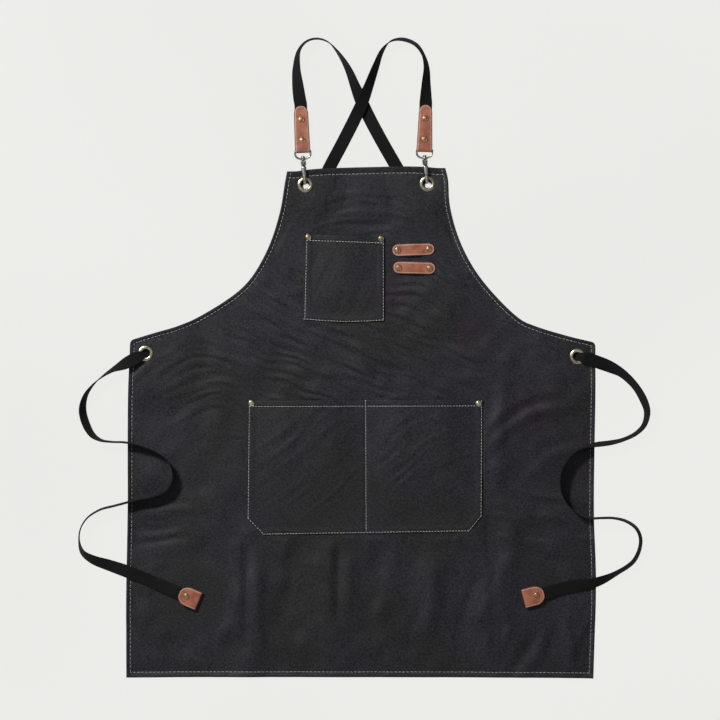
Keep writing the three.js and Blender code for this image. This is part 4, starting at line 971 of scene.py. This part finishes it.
def spread(length, count):
    """Shares of a length, close together near both ends, and an odd number of them."""
    band = np.array(POCKET_BAND) / length
    middle = np.linspace(band[-1], 1 - band[-1], count - 2 * len(band) + 2)[1:-1]
    return np.concatenate([band, middle, 1 - band[::-1]])


def canvas_pocket(name, pocket):
    form = POCKET_RELIEF
    rows = np.array(pocket["rows"], float)
    columns_count, rows_count = (n + 1 for n in pocket["size"])
    levels = [rows[0], rows[2], rows[3]]
    length = rows[0][1] - rows[3][1]
    v = spread(length, rows_count)
    level_at = [0, (rows[0][1] - rows[2][1]) / length, 1]
    left = np.stack([np.interp(v, level_at, [r[k] for r in levels]) for k in (0, 1)], axis=-1)
    right = np.stack([np.interp(v, level_at, [r[k] for r in levels]) for k in (2, 3)], axis=-1)
    u = spread(rows[0][2] - rows[0][0], columns_count)[None, :, None]
    plan = left[:, None] * (1 - u) + right[:, None] * u
    plan[..., 1] -= pocket["sag"] * v[:, None]**2.5 * np.sin(math.pi * u[..., 0])
    top = pocket_height(pocket, plan)
    sewn = away_from(plan, pocket_outline(pocket))
    above_hem = POCKET_SEAM["hem"] - (rows[0][1] - plan[..., 1])
    thick = CANVAS - form["thin"] + form["hem"] * smooth(above_hem / HEM["lap"])
    low = np.maximum(top - thick, POCKET_BASE - CANVAS - form["thin"] * smooth(1 - sewn))
    upper = np.concatenate([plan, top[..., None]], axis=-1)
    lower = np.concatenate([plan, low[..., None]], axis=-1)
    return closed_sheet(name, upper, lower, CLOTH)


# Stitching

def new_tree(name, **inputs):
    """Geometry node tree that takes and gives a geometry, with further inputs by name and kind of socket."""
    tree = bpy.data.node_groups.new(name, "GeometryNodeTree")
    for label, kind in {"Geometry": "Geometry", **inputs}.items():
        tree.interface.new_socket(label, in_out="INPUT", socket_type=f"NodeSocket{kind}")
    tree.interface.new_socket("Geometry", in_out="OUTPUT", socket_type="NodeSocketGeometry")
    return tree, add(tree, "NodeGroupInput").outputs


def stitch_tree():
    """Thread stitches laid along each run of points."""
    tree, given = new_tree("stitch_row", Spacing="Float", Length="Float", Thickness="Float",
                           Thread="Material")
    curve = add(tree, "GeometryNodeMeshToCurve", {"Mesh": given["Geometry"]})
    spots = add(tree, "GeometryNodeCurveToPoints",
                {"Curve": curve.outputs["Curve"], "Length": given["Spacing"]}, mode="LENGTH")
    turn = add(tree, "FunctionNodeAlignRotationToVector", {"Vector": spots.outputs["Tangent"]}, axis="X")
    size = add(tree, "ShaderNodeCombineXYZ", {"X": given["Length"], "Y": given["Thickness"],
                                              "Z": given["Thickness"]})
    bead = add(tree, "GeometryNodeMeshUVSphere", {"Segments": 7, "Rings": 5, "Radius": 0.5})
    laid = add(tree, "GeometryNodeInstanceOnPoints", {
        "Points": spots.outputs["Points"], "Instance": bead.outputs["Mesh"],
        "Rotation": turn.outputs["Rotation"], "Scale": size.outputs["Vector"]})
    real = add(tree, "GeometryNodeRealizeInstances", {"Geometry": laid.outputs["Instances"]})
    soft = add(tree, "GeometryNodeSetShadeSmooth", {"Geometry": real.outputs["Geometry"]})
    dyed = add(tree, "GeometryNodeSetMaterial",
               {"Geometry": soft.outputs["Geometry"], "Material": given["Thread"]})
    add(tree, "NodeGroupOutput", {"Geometry": dyed.outputs["Geometry"]})
    return tree


def with_tree(piece, tree, **inputs):
    """Runs a node tree on a piece with the inputs given by name, and keeps the plain result."""
    modifier = piece.modifiers.new(tree.name, "NODES")
    modifier.node_group = tree
    for item in tree.interface.items_tree:
        if item.in_out == "INPUT" and item.name in inputs:
            modifier[item.identifier] = inputs[item.name]
    return applied(piece)


def runs_piece(name, runs, material):
    """Object of loose edges along runs of points."""
    points, edges = [], []
    for run in runs:
        start = len(points)
        points += (np.asarray(run) * MM).tolist()
        edges += [(start + k, start + k + 1) for k in range(len(run) - 1)]
    mesh = bpy.data.meshes.new(name)
    mesh.from_pydata(points, edges, [])
    mesh.materials.append(material)
    return placed(name, mesh)


def inset_path(path, inset, inwards):
    """Path moved sideways into the cloth."""
    run = average(np.gradient(path, axis=0), 4)
    run /= np.linalg.norm(run, axis=1)[:, None]
    return path + inwards * inset * np.stack([-run[:, 1], run[:, 0]], axis=1)


def on_panel(path):
    """Thread's path on the panel."""
    path = points_at(path, np.arange(0, distances(path)[-1], SEAM_STEP["laid"]))
    height = panel_height(path, hem_distances(path)) + THREAD_LIFT
    return np.concatenate([path, height[:, None]], axis=1)


def panel_seams():
    """Seams of the armholes and sides, then of the bib's top and the skirt's foot."""
    runs = []
    for side, inwards in (("left", 1), ("right", -1)):
        for part, start, others in (("armhole", 3, ["side"]), ("side", 2, ["armhole", "bottom"])):
            path = edge_paths(side)[part]
            stations = points_at(path, np.arange(start, distances(path)[-1], SEAM_STEP["edge"]))
            seam = inset_path(stations, SEAM[part], inwards)
            for other in others:
                seam = clear_of(seam, other)
            runs.append(on_panel(seam))
    for row, inset, other in ((PLAN[0], -SEAM["top"], "armhole"), (PLAN[-1], SEAM["bottom"], "side")):
        seam = row[3:-3] + np.array([0.0, inset])
        runs.append(on_panel(clear_of(seam, other)))
    return runs


def clear_of(path, part):
    """Path without the points that lie in the hem of another edge."""
    return path[hem_distances(path)[part] > SEAM[part] - 0.4]


def pocket_seams(pocket):
    """Edge seam round the three sewn sides, hem seam below the mouth, and the seams between bays."""
    outline = pocket_outline(pocket)
    middle = outline.mean(axis=0)
    mouth = pocket["rows"][0]
    inner = outline.copy()
    for k, place in enumerate(outline):
        run = outline[min(k + 1, len(outline) - 1)] - outline[max(k - 1, 0)]
        side = np.array([-run[1], run[0]]) / np.linalg.norm(run)
        side *= math.copysign(1, side @ (middle - place))
        inner[k] = place + side * POCKET_SEAM["edge"] * 1.2
    steps = np.diff(inner, axis=0)
    heading = np.unwrap(np.arctan2(steps[:, 1], steps[:, 0]))
    sharp = np.abs(np.diff(heading)) > math.radians(SEAM_CORNER)
    corners = [0, *(np.flatnonzero(sharp) + 1), len(inner) - 1]
    lines = [inner[a:b + 1] for a, b in zip(corners, corners[1:])]
    hem_y = POCKET_SEAM["hem"]
    lines.append(np.array([[mouth[0] + 2, mouth[1] - hem_y], [mouth[2] - 2, mouth[3] - hem_y]]))
    lines += [line + np.array([[0, -1.0], [0, 2.0]]) for line in pocket_middles(pocket)]
    runs = []
    for line in lines:
        path = points_at(line, np.arange(0.5, distances(line)[-1], SEAM_STEP["laid"]))
        height = pocket_height(pocket, path) + THREAD_LIFT
        runs.append(np.concatenate([path, height[:, None]], axis=1))
    return runs


def stitching(name, runs, stitch):
    spacing, length, thick = (value * MM for value in stitch)
    piece = runs_piece(name, runs, THREAD)
    with_tree(piece, STITCH_TREE, Spacing=spacing, Length=length, Thickness=thick, Thread=THREAD)
    return finish_piece(piece, "apron", "canvas")


# Rivets and eyelets

def rivet_tree():
    """Copies of a rivet at each point, set along the point's axis."""
    tree, given = new_tree("rivet_set", Rivet="Object", Metal="Material")
    shape = add(tree, "GeometryNodeObjectInfo", {"Object": given["Rivet"]})
    axis = add(tree, "GeometryNodeInputNamedAttribute", {"Name": "axis"}, data_type="FLOAT_VECTOR")
    turn = add(tree, "FunctionNodeAlignRotationToVector", {"Vector": axis.outputs["Attribute"]}, axis="Z")
    spots = add(tree, "GeometryNodeMeshToPoints", {"Mesh": given["Geometry"]})
    set_in = add(tree, "GeometryNodeInstanceOnPoints", {
        "Points": spots.outputs["Points"], "Instance": shape.outputs["Geometry"],
        "Rotation": turn.outputs["Rotation"]})
    real = add(tree, "GeometryNodeRealizeInstances", {"Geometry": set_in.outputs["Instances"]})
    plated = add(tree, "GeometryNodeSetMaterial",
                 {"Geometry": real.outputs["Geometry"], "Material": given["Metal"]})
    add(tree, "NodeGroupOutput", {"Geometry": plated.outputs["Geometry"]})
    return tree


def rivet_shape(low, high, material):
    """Double-cap rivet through layers from low to high: domed and grooved cap, post and flat back."""
    cap, dome, back, post = RIVET["cap"], RIVET["dome"], RIVET["back"], RIVET["post"]
    profile = [(0.02, low - 1.1), (back * 0.75, low - 1.1), (back, low - 0.35), (back * 0.98, low - 0.1),
               (post, low - 0.1), (post, high + 0.1), (cap * 0.97, high + 0.1), (cap, high + 0.45),
               (cap * 0.93, high + 0.95), (cap * 0.8, high + 1.15), (cap * 0.72, high + 1.02),
               (cap * 0.64, high + 1.2), (cap * 0.45, high + 0.82 * dome), (cap * 0.22, high + 0.96 * dome),
               (0.02, high + dome)]
    return make_piece("rivet_shape", *lathe(round_off(profile, 0.3, 2), RIVET["sides"]), material)


def rivets(name, spots, low, high, material, nodes):
    """Rivets through layers from low to high, at the place and along the axis of each spot."""
    shape = rivet_shape(low, high, material)
    mesh = bpy.data.meshes.new(name)
    mesh.from_pydata([tuple(Vector(place) * MM) for place, _ in spots], [], [])
    axes = mesh.attributes.new("axis", "FLOAT_VECTOR", "POINT")
    axes.data.foreach_set("vector", np.array([axis for _, axis in spots], float).ravel())
    mesh.materials.append(material)
    piece = placed(name, mesh)
    with_tree(piece, RIVET_TREE, Rivet=shape, Metal=material)
    bpy.data.objects.remove(shape)
    return finish_piece(piece, "apron", "rivets", *nodes)


def eyelet(name, place):
    """Rolled brass eyelet with a flat washer behind."""
    cloth_low = CANVAS_TOP + EYELET_LIFT - CANVAS
    front = cloth_low + CANVAS + 0.1
    back = cloth_low - 0.1
    profile = [(6.3, back - 0.4), (7.0, back - 0.9), (9.2, back - 0.9), (10.2, back - 0.3), (10.0, back),
               (6.95, back), (6.95, front), (11.4, front), (11.5, front + 0.35), (10.6, front + 0.85),
               (9.0, front + 1.25), (7.9, front + 1.3), (6.9, front + 0.9), (6.35, front + 0.1),
               (6.25, front - 0.8), (6.3, back - 0.4)]
    profile = round_off(profile, 0.5, 2)[:-1]
    points, faces = lathe(profile, 48, is_loop=True)
    return make_piece(name, points + np.array([place[0], place[1], 0.0]), faces, GILT)


# Leather

def leather_strip(path, half_width_at, round_start, round_end, across=9, edge=0.55):
    """Strip of leather along a path of (y, z) points, with round ends and softened edges.

    Gives points, faces and each point's distance from the strip's outline.
    """
    total = distances(path)[-1]
    near = np.array([0.0, 0.25, 0.7, 1.5, 2.8, 4.5, 7.0])
    places = np.unique(np.concatenate([near, np.arange(9.0, total - 9.0, 1.6), total - near]))
    line = points_at(path, places)
    run = np.gradient(line, axis=0)
    run /= np.linalg.norm(run, axis=1)[:, None]
    normal = np.stack([-run[:, 1], run[:, 0]], axis=1)
    half = np.array([half_width_at(s) for s in places], float)
    limit = half.copy()
    for radius, gone in ((round_start, places), (round_end, total - places)):
        if radius:
            limit = np.where(gone < radius, np.sqrt(np.maximum(radius**2 - (radius - gone)**2, 0.0)), limit)
            limit = np.minimum(limit, half)
    limit = np.maximum(limit, 0.25)
    shares = np.sin(np.linspace(-math.pi / 2, math.pi / 2, across))
    points, rim = [], []
    for k, s in enumerate(places):
        spots = shares * limit[k]
        inset = limit[k] - np.abs(spots)
        for radius, gone in ((round_start, s), (round_end, total - s)):
            inset = np.minimum(inset, gone if radius else inset)
        drop = edge * edge_drop(inset, 2 * edge)
        for side, order in ((1, slice(None)), (-1, slice(None, None, -1))):
            for x, d, r in zip(spots[order], drop[order], inset[order]):
                out = side * (LEATHER / 2 - d)
                points.append((x, line[k][0] + normal[k][0] * out, line[k][1] + normal[k][1] * out))
                rim.append(r)
    return np.array(points), ring_faces(len(places), 2 * across), np.array(rim)


def leather_piece(name, strip, matrix, node):
    points, faces, rim = strip
    piece = make_piece(name, moved(points, matrix), faces, HIDE, [("rim", rim)])
    outward(piece.data)
    return finish_piece(piece, "apron", "leather", node)


def outward(mesh):
    """Turns all faces of a closed mesh outwards."""
    work = bmesh.new()
    work.from_mesh(mesh)
    bmesh.ops.recalc_face_normals(work, faces=work.faces)
    work.to_mesh(mesh)
    work.free()


def folded_path(length, bar):
    """Middle line of leather folded round a bar, from the upper end to the lower one."""
    flat = WEB_INNER + LEATHER / 2
    radius = bar + LEATHER / 2
    shoulder, straight, curve, step = (FOLDED[key] for key in ("shoulder", "straight", "curve", "step"))
    turn = np.linspace(math.pi / 2, 1.5 * math.pi, 17)
    bend = np.stack([radius * np.cos(turn), radius * np.sin(turn)], axis=1)
    upper = points_at(np.array([(length, flat), (straight, flat)]), np.arange(0, length - straight, step))
    run_in = catmull_rom([(straight, flat), (shoulder, flat), (curve, radius), bend[0]], 6)[:-1]
    run_out = catmull_rom([bend[-1], (curve, -radius), (shoulder, -flat), (straight, -flat)], 6)[1:]
    lower = points_at(np.array([(straight, -flat), (length, -flat)]),
                      np.arange(step, length - straight + 0.1, step))
    return np.vstack([upper, run_in, bend, run_out, lower])


def tab_strip(side):
    path = folded_path(TAB["length"], EYE["bar"] + 0.6)
    total = distances(path)[-1]
    at_eye, at_end = TAB_HALF[side]

    def half_width(s):
        return at_end + (at_eye - at_end) * min(s, total - s) / (total / 2)

    return leather_strip(path, half_width, at_end, at_end)


def tip_strip():
    path = folded_path(TIP["length"], WEB_INNER)
    half = TIP["half_width"]
    return leather_strip(path, lambda _: half, half, half)


def loop_strip():
    half, flat = TOOL_LOOP["length"] / 2, TOOL_LOOP["rivet_span"] / 2 - 5.2
    s = np.linspace(-half, half, 64)
    height = CANVAS_TOP + LAYER_GAP + LEATHER / 2 + TOOL_LOOP["bow"] * smooth(1 - np.abs(s) / flat)**0.7
    end = TOOL_LOOP["width"] / 2
    return leather_strip(np.stack([s, height], axis=1), lambda _: end, end, end)


# Frames of the hooks, tabs and tips

def spin(degrees, axis="Z"):
    return Matrix.Rotation(math.radians(degrees), 4, axis)


def snap_frame(side):
    name, turn, _, _ = SNAPS[side]
    x, y = EYELETS[name]
    return Matrix.Translation((x, y, 0)) @ spin(turn)


def eye_frame(side):
    place = snap_frame(side) @ Vector((0, HOOK["boss_y"], AXIS_Z))
    return Matrix.Translation(place) @ spin(SNAPS[side][2])


def tab_frame(side):
    place = eye_frame(side) @ Vector((0, HOOK["bar_y"] - HOOK["boss_y"], 0))
    dip = spin(-math.degrees(math.atan(TAB["slope"])), "X")
    return Matrix.Translation(place) @ spin(SNAPS[side][3]) @ dip


def tip_frame(side):
    x, y, turn = TIPS[side]
    return Matrix.Translation((x, y, TIP["z"])) @ spin(turn - 90)


# Snap hooks

def plate(outline, width, bevel=0.45):
    """Plate across X from a (y, z) outline, with softened edges: points and faces."""
    work = bmesh.new()
    ring = [work.verts.new((-width / 2, y, z)) for y, z in outline]
    grown = bmesh.ops.extrude_face_region(work, geom=[work.faces.new(ring)])["geom"]
    far = [v for v in grown if isinstance(v, bmesh.types.BMVert)]
    bmesh.ops.translate(work, vec=(width, 0, 0), verts=far)
    bmesh.ops.recalc_face_normals(work, faces=work.faces)
    bmesh.ops.bevel(work, geom=list(work.edges), offset=bevel, segments=2, affect="EDGES", clamp_overlap=True)
    work.verts.index_update()
    points = np.array([v.co for v in work.verts])
    faces = [tuple(v.index for v in face.verts) for face in work.faces]
    work.free()
    return points, faces


def post_across(radius, length, y, z, sides=20):
    """Round pin across X with softened ends."""
    half = length / 2
    profile = [(0.02, -half), (radius * 0.8, -half), (radius, -half + 0.25), (radius, half - 0.25),
               (radius * 0.8, half), (0.02, half)]
    points, faces = lathe(profile, sides)
    return moved(points, Matrix.Translation((0, y, z)) @ spin(90, "Y")), faces


def hook_wire():
    """Spine, bend and nose of the hook, with a rounded tip."""
    spine_z, nose_z, bend_y = HOOK["spine_z"], HOOK["nose_z"], HOOK["bend_y"]
    bend = (nose_z - spine_z) / 2
    tip_y = HOOK["nose_tip_y"] - HOOK["tip"]
    turn = np.linspace(0, math.pi, 20)
    curve = [(0, bend_y - bend * math.sin(a), AXIS_Z - bend * math.cos(a)) for a in turn]
    spine = [(0, y, spine_z) for y in np.linspace(HOOK["head_start_y"] + 3, bend_y, 12)[:-1]]
    nose = [(0, y, nose_z) for y in np.linspace(bend_y, tip_y, 12)[1:]]
    rounding = np.linspace(0.3, 1.5, 6)
    tip = [(0, tip_y + HOOK["tip"] * math.sin(a), nose_z) for a in rounding]
    path = spine + curve + nose + tip
    radii = np.full(len(path), HOOK["wire"])
    wide = np.interp([place[1] for place in path], *HOOK_WIDTH)
    reach = len(spine) + len(curve) // 2
    wide[:reach] = np.minimum(wide[:reach], HOOK["spine_half"])
    for half in (radii, wide):
        half[-len(tip):] *= np.cos(rounding)
    return tube(path, radii, wide=wide)


def hook_head():
    """Block that carries the gate between two cheeks, with its pin."""
    start, end, width = HOOK["head_start_y"], HOOK["head_end_y"], HOOK["head_width"]
    pivot_y, pivot_z, floor_z = HOOK["pivot_y"], HOOK["pivot_z"], HOOK["slot_floor"]
    low = HOOK["spine_z"] - HOOK["wire"] * 0.9
    cheek_width = (width - HOOK["slot_width"]) / 2
    block = plate([(start, low), (HOOK["heel_y"], low), (end, AXIS_Z - 2.4), (end, floor_z),
                   (start + 2.8, floor_z - 0.3), HOOK["throat"], (start, low + 2.4)], width)
    points, faces = plate([(start + 2.6, floor_z - 1.2), (end, floor_z - 1.2), (end, AXIS_Z + 2.2),
                           (pivot_y + 2.0, pivot_z + 1.4), (pivot_y + 0.6, pivot_z + 2.0),
                           (pivot_y - 1.2, pivot_z + 1.6), (pivot_y - 1.8, pivot_z - 0.8)], cheek_width, 0.35)
    out = (HOOK["slot_width"] + cheek_width) / 2
    cheeks = [(points + np.array([side * out, 0, 0]), faces) for side in (-1, 1)]
    return joined(block, *cheeks, post_across(HOOK["pin"], width + 0.5, pivot_y, pivot_z))


def hook_neck():
    """Round neck behind the head, with a ball that holds the swivel eye."""
    start, end = HOOK["head_end_y"] - 0.8, HOOK["boss_y"] + EYE["boss_length"] / 2 + 0.5
    neck, ball = HOOK["neck"], HOOK["ball"]
    profile = [(0.02, start), (neck, start), (neck, end), (ball * 0.9, end + 0.1), (ball, end + 0.9),
               (ball * 0.85, end + 2.1), (ball * 0.45, end + 2.9), (0.02, end + 3.2)]
    points, faces = lathe(round_off(profile, 0.5, 3), 24)
    return moved(points, Matrix.Translation((0, 0, AXIS_Z)) @ spin(-90, "X")), faces


def hook_body():
    return joined(hook_wire(), hook_head(), hook_neck())


def gate_bar():
    """Lever gate: a narrow bar to the pin, a wide blade under the nose, and the knuckle."""
    pivot_y, pivot_z, nose_y = HOOK["pivot_y"], HOOK["pivot_z"], HOOK["nose_tip_y"]
    under = HOOK["nose_z"] - HOOK["wire"] - 0.3
    root = GATE["knuckle"] * 0.8
    levers = []
    # Bar and blade: end, width and softening of the edges
    sizes = ((pivot_y, GATE["width"], 0.35), (GATE["blade_end_y"], GATE["blade_width"], 0.6))
    for end_y, width, bevel in sizes:
        levers.append(plate([(GATE["tip_y"], under - GATE["thick"]), (end_y, pivot_z - root),
                             (end_y, pivot_z + root), (nose_y + 2.4, under + 1.4), (nose_y + 0.5, under),
                             (GATE["tip_y"], under)], width, bevel))
    return joined(*levers, post_across(GATE["knuckle"], GATE["width"], pivot_y, pivot_z))


def swivel_eye():
    drop = HOOK["bar_y"] - HOOK["boss_y"]
    half, corner = EYE["half_width"], EYE["corner"]
    shoulder = drop - EYE["corner_rise"]
    turn = np.linspace(0, math.pi, 40)
    loop = [(-half * math.cos(a), shoulder * (1 - math.sin(a)**0.6), 0) for a in turn]
    loop += [(half - corner * 0.3, drop - corner * 0.38, 0), (half - corner, drop, 0)]
    loop += [(x, drop, 0) for x in np.linspace(half - corner, corner - half, 10)[1:-1]]
    loop += [(corner - half, drop, 0), (corner * 0.3 - half, drop - corner * 0.38, 0)]
    wire = tube(loop, EYE["wire"], 14, is_loop=True)
    length, inner = EYE["boss_length"] / 2, HOOK["neck"] + 0.4
    profile = [(inner, -length), (EYE["boss"] - 0.4, -length), (EYE["boss"], 0), (EYE["boss"] - 0.4, length),
               (inner, length), (inner, -length)]
    points, faces = lathe(round_off(profile, 0.4, 3)[:-1], 24, is_loop=True)
    return joined(wire, (moved(points, spin(-90, "X")), faces))


def metal_piece(name, parts, matrix, body, node):
    points, faces = parts
    piece = make_piece(name, moved(points, matrix), faces, NICKEL)
    outward(piece.data)
    piece.data.set_sharp_from_angle(angle=math.radians(SHARP_EDGE))
    return finish_piece(piece, body, "hardware", node)


# Straps

def strap_rows(side):
    """Middle, roll and gather of the strap at each of its rows."""
    tab = tab_frame(side)
    tip = tip_frame("right" if side == "left" else "left")
    rows = [(*(tab @ Vector((0, y, 0))), 0.0, 1.0) for y in TAB_STRAP_ROWS]
    for x, y, rise, roll, gather in ROUTES[side]:
        turn = math.radians(roll)
        tall = WEBBING["width"] * gather / 2 * abs(math.sin(turn))
        thick = WEBBING["thick"] / gather / 2 * abs(math.cos(turn))
        rows.append((x, y, rise + tall + thick, turn, gather))
    rows += [(*(tip @ Vector((0, y, 0))), rows[-1][3], 1.0) for y in TIP_STRAP_ROWS]
    return np.array(rows, float)


def webbing_strap(side):
    steps = 10
    rows = strap_rows(side)
    line = catmull_rom(rows[:, :3], steps)
    place = np.arange(len(line)) / steps
    roll = average(np.interp(place, np.arange(len(rows)), rows[:, 3])[:, None], 3)[:, 0]
    gather = np.interp(place, np.arange(len(rows)), rows[:, 4])
    run = np.gradient(line, axis=0)
    run /= np.linalg.norm(run, axis=1)[:, None]
    level = np.stack([run[:, 1], -run[:, 0], np.zeros(len(run))], axis=1)
    level /= np.linalg.norm(level, axis=1)[:, None]
    up = np.cross(level, run)
    across = level * np.cos(roll)[:, None] + up * np.sin(roll)[:, None]
    face = np.cross(across, run)
    half = WEBBING["width"] / 2 * gather
    thick = WEBBING["thick"] / 2 / gather
    section = WEB_SECTION + [(w, -n) for w, n in WEB_SECTION[::-1]]
    w, n = np.array(section).T
    rings = (line[:, None] + across[:, None] * (half[:, None] * w)[..., None]
             + face[:, None] * (thick[:, None] * n)[..., None])
    done = distances(line) * MM
    uv = np.stack([np.repeat(done[:, None], len(w), axis=1), (half[:, None] * w) * MM], axis=-1)
    piece = make_piece(f"webbing_strap_{side}", rings.reshape(-1, 3), ring_faces(len(line), len(w)), TAPE,
                       uv=uv.reshape(-1, 2))
    outward(piece.data)
    return finish_piece(piece, "apron", "webbing", f"strap_{side}")


# The pieces

STITCH_TREE = stitch_tree()
RIVET_TREE = rivet_tree()
UP = (0, 0, 1)
SIDES = ("left", "right")

panel = finish_piece(canvas_panel(), "apron", "canvas", "apron_panel")
chest_pocket = canvas_pocket("canvas_chest_pocket", CHEST_POCKET)
finish_piece(chest_pocket, "apron", "canvas", "chest_pocket")
front_pocket = canvas_pocket("canvas_front_pocket", FRONT_POCKET)
finish_piece(front_pocket, "apron", "canvas", "front_pocket")
panel_thread = stitching("hem_stitching", panel_seams(), HEM_STITCH)
chest_thread = stitching("chest_pocket_stitching", pocket_seams(CHEST_POCKET), POCKET_STITCH)
front_thread = stitching("front_pocket_stitching", pocket_seams(FRONT_POCKET), POCKET_STITCH)

for side in SIDES:
    webbing_strap(side)
    leather_piece(f"leather_tab_{side}", tab_strip(side), tab_frame(side), f"strap_tab_{side}")
    leather_piece(f"leather_tip_{side}", tip_strip(), tip_frame(side), f"tie_tip_{side}")
    metal_piece(f"hook_body_{side}", hook_body(), snap_frame(side), "apron", f"snap_hook_{side}")
    metal_piece(f"hook_gate_{side}", gate_bar(), snap_frame(side), f"gate_{side}", f"snap_gate_{side}")
    metal_piece(f"hook_eye_{side}", swivel_eye(), eye_frame(side), "apron", f"snap_eye_{side}")

for node, (x, y, turn) in TOOL_LOOPS.items():
    leather_piece(f"leather_{node}", loop_strip(), Matrix.Translation((x, y, 0)) @ spin(turn - 90), node)

for node, place in EYELETS.items():
    ring = eyelet(f"{node}_ring", place)
    outward(ring.data)
    finish_piece(ring, "apron", "hardware", node)

for name, spots, metal in (("chest_pocket", CHEST_RIVETS, AGED), ("front_pocket", FRONT_RIVETS, GILT)):
    rivets(f"{name}_rivets", [((x, y, 0), UP) for x, y in spots], CANVAS_TOP - CANVAS, POCKET_BASE + 1.0,
           metal, [f"{name}_rivet_{side}" for side in SIDES])

loop_spots = []
loop_nodes = []
for node, (x, y, turn) in TOOL_LOOPS.items():
    for side, sign in zip(SIDES, (-1, 1)):
        reach = sign * TOOL_LOOP["rivet_span"] / 2
        angle = math.radians(turn)
        loop_spots.append(((x + reach * math.cos(angle), y + reach * math.sin(angle), 0), UP))
        loop_nodes.append(f"{node}_rivet_{side}")
rivets("tool_loop_rivets", loop_spots, CANVAS_TOP - CANVAS, CANVAS_TOP + LAYER_GAP + LEATHER, BRASS,
       loop_nodes)

fold_spots = []
fold_nodes = []
for side in SIDES:
    tab = tab_frame(side)
    for level, y in zip(("lower", "upper"), TAB["rivets"]):
        fold_spots.append((tab @ Vector((0, y, 0)), tab.to_3x3() @ Vector(UP)))
        fold_nodes.append(f"strap_tab_rivet_{side}_{level}")
    fold_spots.append((tip_frame(side) @ Vector((0, TIP["rivet"], 0)), UP))
    fold_nodes.append(f"tie_tip_rivet_{side}")
layers = WEB_INNER + LEATHER
rivets("strap_end_rivets", fold_spots, -layers, layers, BRASS, fold_nodes)


# Floor, light and camera, in metres

LOOK_AT = Vector((-3.75, -4.5, 0.0)) * MM
VIEW = {"lens": 135.0, "sensor": 36.0, "width": 1.08}
KEY = {"toward": (-0.5, 0.5, 0.707), "away": 4.0, "size": 0.7, "energy": 158.0}
# Sky: strength all round, and strength and fall-off of the softbox overhead and the reflector at the foot
SKY = {"all_round": 0.055, "overhead": 0.36, "overhead_power": 5.0, "foot": 0.9, "foot_power": 4.0}


def studio_stage():
    half, level = FLOOR["half"], -FLOOR["drop"]
    mesh = bpy.data.meshes.new("floor")
    corners = [(-half, -half, level), (half, -half, level), (half, half, level), (-half, half, level)]
    mesh.from_pydata(corners, [], [(0, 1, 2, 3)])
    mesh.materials.append(studio_floor())
    floor = placed("floor", mesh)
    floor.visible_glossy = False


def key_light():
    """Round lamp up and to the left, aimed at the middle of the apron."""
    lamp = bpy.data.lights.new("key_light", "AREA")
    lamp.shape = "DISK"
    lamp.size = KEY["size"]
    lamp.energy = KEY["energy"]
    key = placed("key_light", lamp)
    key.location = Vector(KEY["toward"]) * KEY["away"]
    key.rotation_euler = (-key.location).to_track_quat("-Z", "Y").to_euler()


def studio_sky():
    world = bpy.data.worlds.new("studio")
    world.use_nodes = True
    sky = world.node_tree
    heading = add(sky, "ShaderNodeSeparateXYZ", {0: add(sky, "ShaderNodeTexCoord").outputs["Generated"]})
    strength = SKY["all_round"]
    for axis, limit, name in (("Z", "MAXIMUM", "overhead"), ("Y", "MINIMUM", "foot")):
        facing = add(sky, "ShaderNodeMath", {0: heading.outputs[axis], 1: 0.0}, operation=limit)
        focus = add(sky, "ShaderNodeMath", {0: facing.outputs[0], 1: SKY[f"{name}_power"]}, operation="POWER")
        strength = add(sky, "ShaderNodeMath", {0: focus.outputs[0], 1: SKY[name], 2: strength},
                       operation="MULTIPLY_ADD").outputs[0]
    sky.nodes["Background"].inputs["Color"].default_value = (0.95, 0.97, 1.0, 1.0)
    sky.links.new(strength, sky.nodes["Background"].inputs["Strength"])
    bpy.context.scene.world = world


def overhead_camera():
    lens = bpy.data.cameras.new("camera")
    lens.lens = VIEW["lens"]
    lens.sensor_width = VIEW["sensor"]
    camera = placed("camera", lens)
    camera.location = LOOK_AT + Vector((0, 0, VIEW["width"] * VIEW["lens"] / VIEW["sensor"]))
    bpy.context.scene.camera = camera
    bpy.context.scene.view_settings.view_transform = "Standard"


studio_stage()
key_light()
studio_sky()
overhead_camera()
